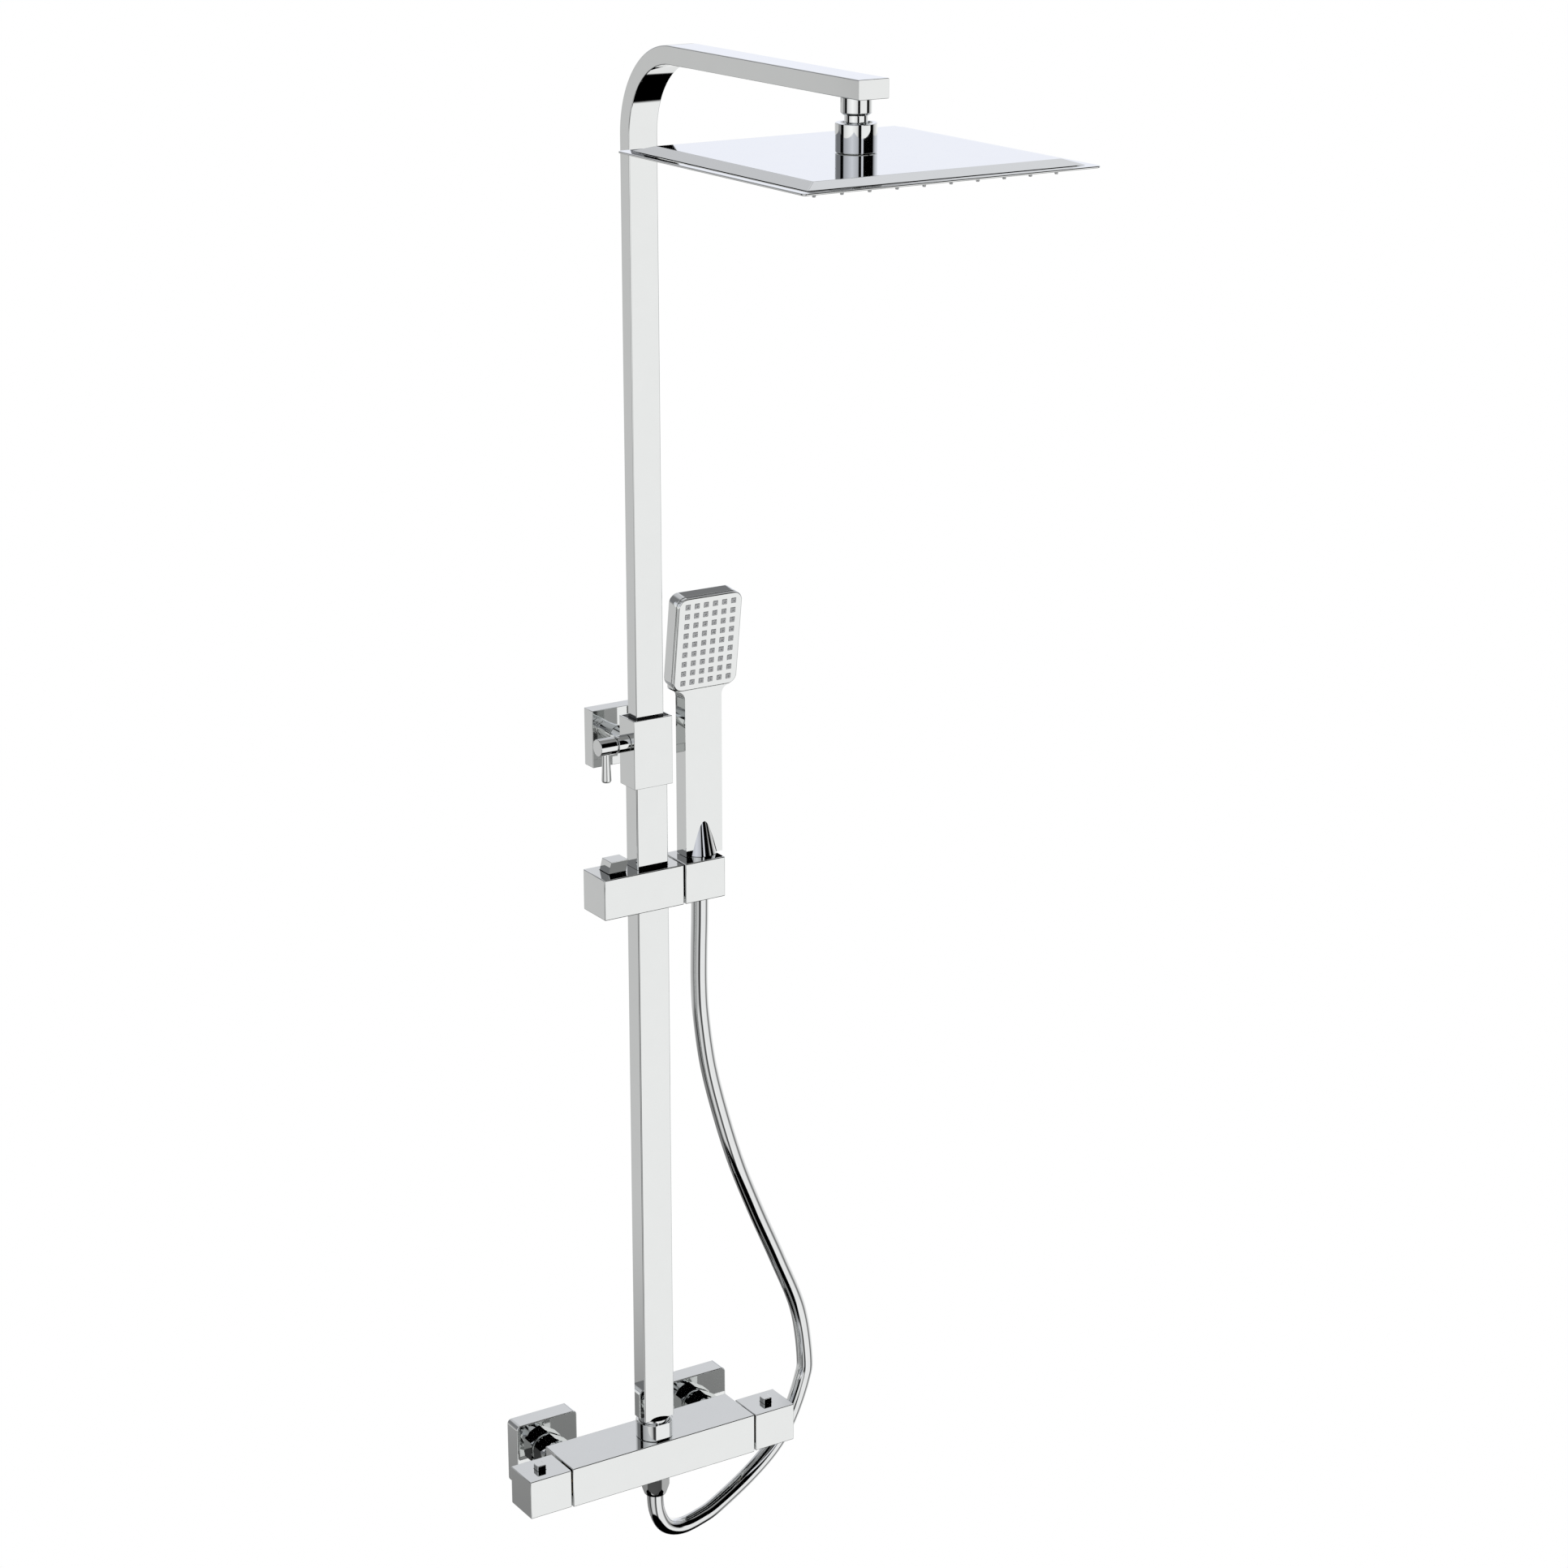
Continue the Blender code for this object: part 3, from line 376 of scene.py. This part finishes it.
# ---------------------------------------------------------------- hose
ROUTE = [
    (0.0523, -0.0660, SEAT_Z - 0.0203), (0.0519, -0.0660, -0.1553),
    (0.0511, -0.0660, -0.1837), (0.0509, -0.0660, -0.2124), (0.0525, -0.0660, -0.2416),
    (0.0589, -0.0660, -0.2867), (0.0706, -0.0660, -0.3334), (0.0858, -0.0659, -0.3817),
    (0.1082, -0.0617, -0.4339), (0.1332, -0.0574, -0.4878), (0.1564, -0.0533, -0.5421),
    (0.1657, -0.0504, -0.5930), (0.1626, -0.0500, -0.6162), (0.1494, -0.0500, -0.6484),
    (0.1313, -0.0519, -0.6712), (0.1019, -0.0554, -0.6910), (0.0652, -0.0620, -0.7061),
    (0.0475, -0.0645, -0.7104), (0.0306, -0.0668, -0.7120), (0.0180, -0.0685, -0.7090),
    (0.0085, -0.0698, -0.7020), (0.0024, -0.0706, -0.6900), (0.0002, -0.0706, -0.6780),
    (0.0000, -0.0706, VALVE_BOTTOM - 0.0130),
]
centres = smooth(ROUTE, 0.0035)


def hose_tube(name, path, sides=40):
    """A round tube along `path`, its rings carried without twist."""
    bm = bmesh.new()
    side = Vector((1, 0, 0))
    rings = []
    for i, p in enumerate(path):
        along = (path[min(i + 1, len(path) - 1)] - path[max(i - 1, 0)]).normalized()
        side = (side - along * side.dot(along)).normalized()
        up = along.cross(side)
        rings.append([bm.verts.new(p + HOSE_R * (side * math.cos(a) + up * math.sin(a)))
                      for a in (math.tau * k / sides for k in range(sides))])
    for a, b in zip(rings, rings[1:]):
        for k in range(sides):
            j = (k + 1) % sides
            bm.faces.new((a[k], a[j], b[j], b[k]))
    bm.faces.new(rings[0])
    bm.faces.new(rings[-1])
    bmesh.ops.recalc_face_normals(bm, faces=bm.faces)
    return finish(name, bm, HOSE, None)


LOW_CUT, HIGH_CUT = -0.200, -0.152
low_at = next(i for i, p in enumerate(centres) if p.z < LOW_CUT)
high_at = next(i for i, p in enumerate(centres) if p.z < HIGH_CUT)
run_path = centres[low_at:][::-1]
hose_run = hose_tube("hose_run", run_path)
hose_top = hose_tube("hose_under_holder", centres[high_at:low_at + 1][::-1])
hose_end = hose_tube("hose_in_holder", centres[:high_at + 1][::-1])
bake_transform(hose_run)
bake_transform(hose_top)
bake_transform(hose_end)
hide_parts("shower_hose")

# ---------------------------------------------------------------- boxes
for node_name in ("valve_body", "flow_handle", "temperature_handle", "flow_stop_button",
                  "temperature_stop_button", "lower_riser_tube", "wall_plate",
                  "clamp_sleeve", "sleeve_liner", "slider_body", "holder_block",
                  "release_lever"):
    polished(node_name)

# ---------------------------------------------------------------- inlets
for side, label in ((-1, "left"), (1, "right")):
    at = (side * INLET_X, 0, VALVE_Z)
    hex_nut("inlet_nut_" + label, 0.0168, -0.0328, -0.0190,
            [(0, -0.0328), (0.0146, -0.0328), (0.0169, -0.0308), (0.0169, -0.0204),
             (0.0152, -0.0190), (0, -0.0190)], 0.0123, "Y", at, math.pi / 6)
    stand_in("inlet_union_" + label,
             turn(eased([(0.0078, 0), (0.0105, 0), (0.0105, -0.0150), (0.0119, -0.0150),
                         (0.0119, -0.0268), (0.0078, -0.0268)], 0.0003), "Y", at))
    rose = box((ROSETTE, ROSETTE, ROSETTE_DEPTH), (0, 0, 0), 0.0040, 12)
    front = [e for e in rose.edges if e.calc_face_angle(0) > 0.9
             and all(v.co.z > 0 for v in e.verts)]
    bmesh.ops.bevel(rose, geom=front, offset=0.0009, segments=5, profile=0.5,
                    affect="EDGES")
    hollow = ROSETTE - 2 * ROSETTE_WALL
    rose = combine(rose, box((hollow, hollow, ROSETTE_DEPTH), (0, 0, -0.0016)))
    rose = combine(rose, rod(0.0126, -0.02, 0.02))
    bmesh.ops.rotate(rose, verts=rose.verts, cent=(0, 0, 0),
                     matrix=Matrix.Rotation(math.pi / 2, 3, "X"))
    stand_in("rosette_" + label, moved(rose, (at[0], -ROSETTE_DEPTH / 2, VALVE_Z)))

# ---------------------------------------------------------------- riser foot and hose nuts
foot_at = (0, RISER_Y, VALVE_TOP)
stand_in("riser_foot",
         combine(turn([(0.0065, -0.0120), (0.0097, -0.0120), (0.0097, 0.0006),
                       (0.0129, 0.0006), (0.0129, 0.0180), (0.0065, 0.0180)],
                      centre=foot_at),
                 combine(box((0.0256, 0.0147, 0.0200),
                             (0, RISER_Y, VALVE_TOP + 0.0278), 0.0008, 4),
                         rod(0.0052, 0, 0.05, centre=foot_at)), "UNION"))
ring = turn(eased([(0.0132, 0.0003), (0.01585, 0.0003), (0.01585, 0.0151),
                   (0.0132, 0.0151)], 0.0007), centre=foot_at, sides=128)
for side in (-1, 1):
    ring = combine(ring, box((0.040, 0.010, 0.020),
                             (0, RISER_Y + side * 0.01955, VALVE_TOP + 0.0075)))
stand_in("riser_nut", ring, 30)
under_at = (0, RISER_Y, VALVE_BOTTOM)
hex_nut("hose_nut", 0.0123, -0.0205, -0.0003,
        [(0, -0.0205), (0.0093, -0.0205), (0.0097, -0.0198), (0.0124, -0.0118),
         (0.0124, -0.0014), (0.0112, -0.0003), (0, -0.0003)], 0.0075, "Z", under_at,
        math.radians(27.5))
set_at = (SET_X, SET_Y, SEAT_Z)
stand_in("hose_cone_nut",
         turn(eased([(0.0074, -0.0340), (0.0079, -0.0340), (0.0099, -0.0006),
                     (0.0099, -0.0003), (0.0047, -0.0003), (0.0047, -0.0200),
                     (0.0074, -0.0200)], 0.0003), centre=set_at))

# ---------------------------------------------------------------- bracket and clamp
stand_in("bracket_arm",
         turn(eased([(0, -0.0064), (0.0047, -0.0064), (0.0047, -0.0267), (0.0082, -0.0267),
                     (0.0065, -0.0480), (0.0058, -0.0484), (0.0058, -0.0496),
                     (0.0067, -0.0500), (0.0067, -0.0524), (0.0058, -0.0528),
                     (0.0058, -0.0540), (0.0067, -0.0544), (0.0067, -0.0585),
                     (0, -0.0585)], 0.0003), "Y"))
knob_at = (0, RISER_Y, KNOB_Z)
stand_in("knob_collar",
         turn(eased([(0.0034, -0.0283), (KNOB_R, -0.0283), (KNOB_R, -0.0180),
                     (0.0034, -0.0180)], 0.0004), "X", knob_at))
stand_in("clamp_knob",
         turn(eased([(0, -0.0448), (KNOB_R, -0.0448), (KNOB_R, -0.0300), (0.0061, -0.0298),
                     (0.0061, -0.0286), (0, -0.0286)], 0.0005), "X", knob_at))
stand_in("lever_rod",
         turn(eased([(0, -0.0060), (0.0031, -0.0060), (0.0031, -0.0078), (0.0040, -0.0285),
                     (0.0033, -0.0297), (0, -0.0297)], 0.0004), "Z",
              (-0.0370, RISER_Y, KNOB_Z), 64))

# ---------------------------------------------------------------- riser and arm


def corner_section(width, depth, radius, steps=5):
    """Rounded rectangle as (across, outward) points, anticlockwise."""
    out = []
    for k, (sx, sy) in enumerate(((1, 1), (-1, 1), (-1, -1), (1, -1))):
        cx, cy = sx * (width / 2 - radius), sy * (depth / 2 - radius)
        for i in range(steps + 1):
            a = (k + i / steps) * math.pi / 2
            out.append((cx + radius * math.cos(a), cy + radius * math.sin(a)))
    return out


def loft(bm, frames, section):
    """Skin a section along (centre, outward direction) frames."""
    rings = []
    for centre, out in frames:
        rings.append([bm.verts.new(centre + Vector((x, 0, 0)) + out * y)
                      for x, y in section])
    for a, b in zip(rings, rings[1:]):
        for i in range(len(a)):
            j = (i + 1) % len(a)
            bm.faces.new((a[i], a[j], b[j], b[i]))
    return rings


def arm_path(end, turns=60):
    """(centre, outward direction) frames up the riser and along the arm."""
    frames = [(Vector((0, RISER_Y, UP_BOTTOM)), Vector((0, 1, 0)))]
    for i in range(turns + 1):
        a = math.pi / 2 * i / turns
        out = Vector((0, math.cos(a), math.sin(a)))
        frames.append((Vector((0, RISER_Y - BEND_R, BEND_Z)) + out * BEND_R, out))
    return frames + [(Vector((0, end, BEND_Z + BEND_R)), Vector((0, 0, 1)))]


arm = bmesh.new()
outer = loft(arm, arm_path(ARM_END), corner_section(*UP_TUBE, 0.0008))
inner = loft(arm, arm_path(ARM_END + TUBE_WALL),
             corner_section(UP_TUBE[0] - 2 * TUBE_WALL, UP_TUBE[1] - 2 * TUBE_WALL, 0.0004))
for i in range(len(outer[0])):
    j = (i + 1) % len(outer[0])
    arm.faces.new((outer[0][i], outer[0][j], inner[0][j], inner[0][i]))
end_cap = arm.faces.new(outer[-1])
arm.faces.new(inner[-1])
bmesh.ops.recalc_face_normals(arm, faces=arm.faces)
bmesh.ops.bevel(arm, geom=list(end_cap.edges), offset=0.0004, segments=3, profile=0.5,
                affect="EDGES")
stand_in("upper_riser_arm", arm, 35)

# ---------------------------------------------------------------- swivel and rain head


def arc(radius, low, high, steps):
    """(r, h) points on a sphere from latitude `low` to `high`, in degrees."""
    turned = [math.radians(low + (high - low) * i / steps) for i in range(steps + 1)]
    return [(radius * math.cos(a), radius * math.sin(a)) for a in turned]


ball_at = (0, HEAD_Y, BALL_Z)
cap_low = RIM_Z + 0.0044 - BALL_Z
arm_under = BEND_Z + BEND_R - UP_TUBE[1] / 2 - BALL_Z
stand_in("swivel_ball",
         turn([(0.0035, -0.0087)] + arc(0.0110, -52, 41, 24)
              + [(0.0083, 0.0143), (0.0062, 0.0143), (0.0062, 0.0300), (0.0035, 0.0300)],
              centre=ball_at))
stand_in("swivel_cap",
         turn([(0.0144, cap_low), (0.0148, cap_low + 0.0005), (0.0148, 0.0085),
               (0.0147, 0.0090), (0.0143, 0.0093), (0.0118, 0.0093), (0.0116, 0.0090)]
              + arc(0.0122, 33, -60, 16) + [(0.0060, cap_low)], centre=ball_at, sides=128))
stand_in("arm_outlet_nut",
         turn(eased([(0.0065, 0.0146), (0.0091, 0.0146), (0.0111, 0.0163),
                     (0.0111, arm_under - 0.0003), (0.0065, arm_under - 0.0003)], 0.0003),
              centre=ball_at))
head_at = Vector((0, HEAD_Y, RIM_Z))
cover = box((1, 1, 1))
for v in cover.verts:
    half, height = (COVER_TOP, COVER_HIGH) if v.co.z > 0 else (COVER_FOOT, COVER_LOW)
    v.co = Vector((math.copysign(half, v.co.x), math.copysign(half, v.co.y), height))
stand_in("rain_head_cover", moved(ease(cover, 0.0006, 4, 0.2), head_at), 60)

plate = ease(box((HEAD, HEAD, 0.0016), (0, 0, -0.0008), 0.0040, 12), 0.0007, 4)
NOZZLES, PITCH = 10, 0.0220
grid = [((i - (NOZZLES - 1) / 2) * PITCH, (j - (NOZZLES - 1) / 2) * PITCH)
        for i in range(NOZZLES) for j in range(NOZZLES)]
plate = combine(plate, merge([rod(0.0016, -0.003, 0.001, centre=(x, y, 0), sides=16)
                              for x, y in grid]))
stand_in("rain_head_base", moved(plate, head_at))
tips = merge([turn([(0, -0.0004), (0.0013, -0.0004), (0.0013, -0.0038), (0.00145, -0.0040),
                    (0.00145, -0.0046), (0.0012, -0.0064), (0.0010, -0.0067),
                    (0.0005, -0.0067), (0.0005, -0.0058), (0, -0.0058)],
                   centre=(x, y, 0), sides=16) for x, y in grid])
stand_in("rain_head_nozzles", moved(tips, head_at))

# ---------------------------------------------------------------- handset
NECK_Z = FACE_Z - FACE_H / 2 * math.cos(FACE_TILT) - SEAT_Z


def grip_outline(top, steps=14):
    """Handle and flared neck seen from the front, as (x, z), up to `top`."""
    half, flare = GRIP[0] / 2, 0.0080
    right = [(half, 0.0)]
    for i in range(steps + 1):
        a = math.pi - math.pi / 2 * i / steps
        right.append((half + flare + flare * math.cos(a),
                      NECK_Z - 0.0006 - flare + flare * math.sin(a)))
    if top > right[-1][1]:
        right.append((right[-1][0], top))
    return right + [(-x, z) for x, z in reversed(right)]


def flat_solid(outline, thick, rounding):
    """An outline in X and Z given thickness along Y, centred on Y = 0."""
    bm = bmesh.new()
    face = bm.faces.new([bm.verts.new((x, -thick / 2, z)) for x, z in outline])
    grown = bmesh.ops.extrude_face_region(bm, geom=[face])["geom"]
    far = [g for g in grown if isinstance(g, bmesh.types.BMVert)]
    bmesh.ops.translate(bm, vec=(0, thick, 0), verts=far)
    bmesh.ops.recalc_face_normals(bm, faces=bm.faces)
    return ease(bm, rounding, 5, 1.2)


def face_box(size, centre, radius, front=0.0, back=0.0):
    """A slab in the spray face's frame: X wide, Z high, Y into the head."""
    bm = box((size[0], size[2], size[1]), (0, 0, 0), radius, 12)
    for amount, way in ((front, 1), (back, -1)):
        if amount:
            rim = [e for e in bm.edges if e.calc_face_angle(0) > 0.9
                   and all(v.co.z * way > 0 for v in e.verts)]
            bmesh.ops.bevel(bm, geom=rim, offset=amount, segments=5, profile=0.5,
                            affect="EDGES")
    bmesh.ops.rotate(bm, verts=bm.verts, cent=(0, 0, 0),
                     matrix=Matrix.Rotation(math.pi / 2, 3, "X"))
    return moved(bm, centre)


def tilted(bm):
    """From the spray face's frame to the room's."""
    bmesh.ops.transform(bm, verts=bm.verts,
                        matrix=Matrix.Translation((SET_X, FACE_Y, FACE_Z))
                        @ Matrix.Rotation(FACE_TILT, 4, "X"))
    return bm


shell = moved(flat_solid(grip_outline(0), GRIP[1], 0.0014), set_at)
neck = moved(flat_solid(grip_outline(NECK_Z + 0.0060), 0.0104, 0.0010),
             (SET_X, SET_Y + 0.0022, SEAT_Z + 0.0004))
shell = combine(shell, neck, "UNION")
shell = combine(shell, tilted(face_box((FACE_W, 0.0131, FACE_H), (0, 0.01095, 0), 0.0080,
                                       0.0005, 0.0022)), "UNION")
shell = combine(shell, tilted(face_box((0.0562, 0.0010, 0.0770), (0, 0.0044, 0), 0.0065)),
                "UNION")
shell = combine(shell, turn([(0, 0), (0.0142, 0), (0.0056, 0.0360), (0, 0.0360)],
                            centre=set_at), "UNION")
shell = combine(shell, tilted(face_box((0.0516, 0.0080, 0.0716), (0, 0.0060, 0), 0.0002)))
shell = stand_in("handset_shell", shell, 38)
crease(shell, lambda edge: edge.verts[0].co.z < SEAT_Z + CONE_ZONE
       and sum(abs(f.normal.y) > SQUARE_ON for f in edge.link_faces) == 1
       and edge.calc_face_angle(0) > CREASED_BY_CONE)

COLUMNS, ROWS, STEP_X, STEP_Z = 6, 9, 0.0085, 0.0082
spots = [((i - (COLUMNS - 1) / 2) * STEP_X, (j - (ROWS - 1) / 2) * STEP_Z)
         for i in range(COLUMNS) for j in range(ROWS)]
face = face_box((FACE_W, 0.0036, FACE_H), (0, 0.0018, 0), 0.0080, 0.0012, 0.0003)
face = combine(face, merge([box((0.0045, 0.0090, 0.0045), (x, 0.0018, z))
                            for x, z in spots]))
stand_in("handset_face", tilted(face))


def spray_nozzle(x, z):
    """A square pad with softened edges, a round dimple and a hole."""
    pad = ease(box((0.0042, 0.0042, 0.0046), (0, 0, 0.0023)), 0.0005, 3)
    pad = combine(pad, turn([(0, 0.0036), (0.0006, 0.0036), (0.0009, 0.0047),
                             (0.0009, 0.0060), (0, 0.0060)], sides=20))
    bmesh.ops.rotate(pad, verts=pad.verts, cent=(0, 0, 0),
                     matrix=Matrix.Rotation(math.pi / 2, 3, "X"))
    return moved(pad, (x, 0.0038, z))


sheet = box((0.0510, 0.0012, 0.0710), (0, 0.0045, 0))
stand_in("handset_nozzles",
         tilted(merge([sheet] + [spray_nozzle(x, z) for x, z in spots])))

# ---------------------------------------------------------------- studio
FLOOR_SIZE = 80
FLOOR_Z = -1.0
DOME_R = 60


def panel(name, size, centre, mat):
    """A flat horizontal rectangle that is part of the studio."""
    bm = bmesh.new()
    bmesh.ops.create_grid(bm, x_segments=1, y_segments=1, size=0.5)
    bmesh.ops.scale(bm, vec=(size[0], size[1], 1), verts=bm.verts)
    mesh = bpy.data.meshes.new(name)
    bm.to_mesh(mesh)
    bm.free()
    mesh.materials.append(mat)
    obj = bpy.data.objects.new(name, mesh)
    obj.location = centre
    bpy.context.scene.collection.objects.link(obj)
    return obj


def glowing(name):
    """A material that only gives off light, and its Emission node."""
    mat = bpy.data.materials.new(name)
    mat.use_nodes = True
    mat.node_tree.nodes.clear()
    glow = mat.node_tree.nodes.new("ShaderNodeEmission")
    out = mat.node_tree.nodes.new("ShaderNodeOutputMaterial")
    mat.node_tree.links.new(glow.outputs["Emission"], out.inputs["Surface"])
    return mat, glow


pale, pale_glow = glowing("pale_floor")
pale_glow.inputs["Color"].default_value = (1, 1, 1, 1)
floor = panel("floor", (FLOOR_SIZE, FLOOR_SIZE), (0, 0, FLOOR_Z), pale)
floor.visible_glossy = False
floor.visible_diffuse = False

world = bpy.data.worlds.new("studio")
bpy.context.scene.world = world
world.use_nodes = True
world.node_tree.nodes["Background"].inputs["Color"].default_value = (1, 1, 1, 1)

# A large dome carries the soft boxes and dark gaps that the chrome mirrors. Each list is a
# ring of it, as (bearing, brightness) stops: bearings are in degrees, 0 at the camera's side
# and positive to its right, and brightness runs evenly from one stop to the next.
CAMERA_BEARING = math.radians(32.52)
NEAR_LEVEL = [(-180, .64), (-114, .62), (-111, .32), (-93, .28), (-90, 0), (-74, 0),
              (-71, .75), (-50, .98), (-28, 1.13), (-5, .95), (9, .72), (12, 0), (26, 0),
              (28, .95), (41, 1), (79, 1), (82, 0), (101, 0), (106, .5), (125, .80),
              (150, 1.1), (180, 1.1)]
LOOKING_DOWN = [(-180, .38), (-173, .38), (-171, .64), (-108, .62), (-90, .35), (-78, .30),
                (-73, .03), (-52, .08), (-45, .25), (-26, .74), (-12, .50), (-6, .04),
                (7, 0), (15, .55), (24, 1.1), (36, 1), (78, 1), (92, .30), (102, .14),
                (112, .6), (125, .9), (150, 1.05), (180, 1.05)]
STEEPLY_DOWN = [(-180, .27), (-95, .27), (-84, .05), (-72, .05), (-60, .62), (-30, .86),
                (-10, .62), (-2, .05), (8, .06), (15, .4), (22, 1.12), (35, 1), (84, 1),
                (93, .2), (103, .12), (112, .4), (150, .9), (180, .9)]
FRONT_LOOKING_UP = [(-100, .21), (-92, 0), (-76, 0), (-71, .45), (-22, .80), (10, .55),
                    (14, 0), (26, 0), (28, .8), (37, .8), (39, 0), (100, 0), (106, .35)]
LOOKING_UP = ([(-180, .98), (-150, .88), (-138, .22)] + FRONT_LOOKING_UP
              + [(125, .75), (150, .96), (180, .98)])
HIGHER_UP = ([(-180, .75), (-175, .75), (-172, .64), (-140, .60), (-125, .22)]
             + FRONT_LOOKING_UP + [(130, .70), (160, .79), (175.5, .79), (176, .21),
                                   (178.8, .21), (179.1, .75), (180, .75)])


def dome_material():
    mat, glow = glowing("soft_boxes")
    nodes, links = mat.node_tree.nodes, mat.node_tree.links

    def math_node(kind, a, b=0.0):
        made = nodes.new("ShaderNodeMath")
        made.operation = kind
        for socket, value in zip(made.inputs, (a, b)):
            if isinstance(value, bpy.types.NodeSocket):
                links.new(value, socket)
            else:
                socket.default_value = value
        return made.outputs["Value"]

    def bearings(stops, tint=(1, 1, 1)):
        ramp = nodes.new("ShaderNodeValToRGB")
        elements = ramp.color_ramp.elements
        for k, (angle, value) in enumerate(stops):
            at = (angle + 180) / 360
            if 0 < k < len(stops) - 1:
                element = elements.new(at)
            else:
                element = elements[0] if k == 0 else elements[-1]
                element.position = at
            element.color = (*[value * t for t in tint], 1)
        links.new(turn_part, ramp.inputs["Fac"])
        return ramp.outputs["Color"]

    def between(low, high):
        """0 below elevation `low` to 1 above `high`, in degrees."""
        made = nodes.new("ShaderNodeMapRange")
        made.interpolation_type = "SMOOTHSTEP"
        made.inputs["From Min"].default_value = math.sin(math.radians(low))
        made.inputs["From Max"].default_value = math.sin(math.radians(high))
        links.new(xyz.outputs["Z"], made.inputs["Value"])
        return made.outputs["Result"]

    def blend(a, b, factor):
        mix = nodes.new("ShaderNodeMix")
        mix.data_type = "RGBA"
        links.new(factor, mix.inputs["Factor"])
        for socket, value in ((mix.inputs["A"], a), (mix.inputs["B"], b)):
            if isinstance(value, bpy.types.NodeSocket):
                links.new(value, socket)
            else:
                socket.default_value = (value, value, value, 1)
        return mix.outputs["Result"]

    place = nodes.new("ShaderNodeNewGeometry")
    unit = nodes.new("ShaderNodeVectorMath")
    unit.operation = "NORMALIZE"
    links.new(place.outputs["Position"], unit.inputs[0])
    xyz = nodes.new("ShaderNodeSeparateXYZ")
    links.new(unit.outputs["Vector"], xyz.inputs["Vector"])
    front = math_node("MULTIPLY", xyz.outputs["Y"], -1.0)
    bearing = math_node("ARCTAN2", xyz.outputs["X"], front)
    turned = math_node("ADD", bearing, CAMERA_BEARING + math.pi)
    part = math_node("DIVIDE", turned, math.tau)
    turn_part = math_node("FRACT", part)
    colour = blend(0.0, bearings(STEEPLY_DOWN), between(-50, -47))
    colour = blend(colour, bearings(LOOKING_DOWN), between(-30, -24.5))
    colour = blend(colour, bearings(NEAR_LEVEL), between(-18, -10))
    colour = blend(colour, bearings(LOOKING_UP, (0.965, 0.985, 1.07)), between(1, 4))
    colour = blend(colour, bearings(HIGHER_UP, (0.99, 1.0, 1.04)), between(13, 17))
    colour = blend(colour, 0.30, between(47, 54))
    links.new(colour, glow.inputs["Color"])
    return mat


bm = bmesh.new()
bmesh.ops.create_uvsphere(bm, u_segments=96, v_segments=48, radius=DOME_R)
mesh = bpy.data.meshes.new("studio_dome")
bm.to_mesh(mesh)
bm.free()
mesh.materials.append(dome_material())
dome = bpy.data.objects.new("studio_dome", mesh)
bpy.context.scene.collection.objects.link(dome)
dome.visible_camera = False
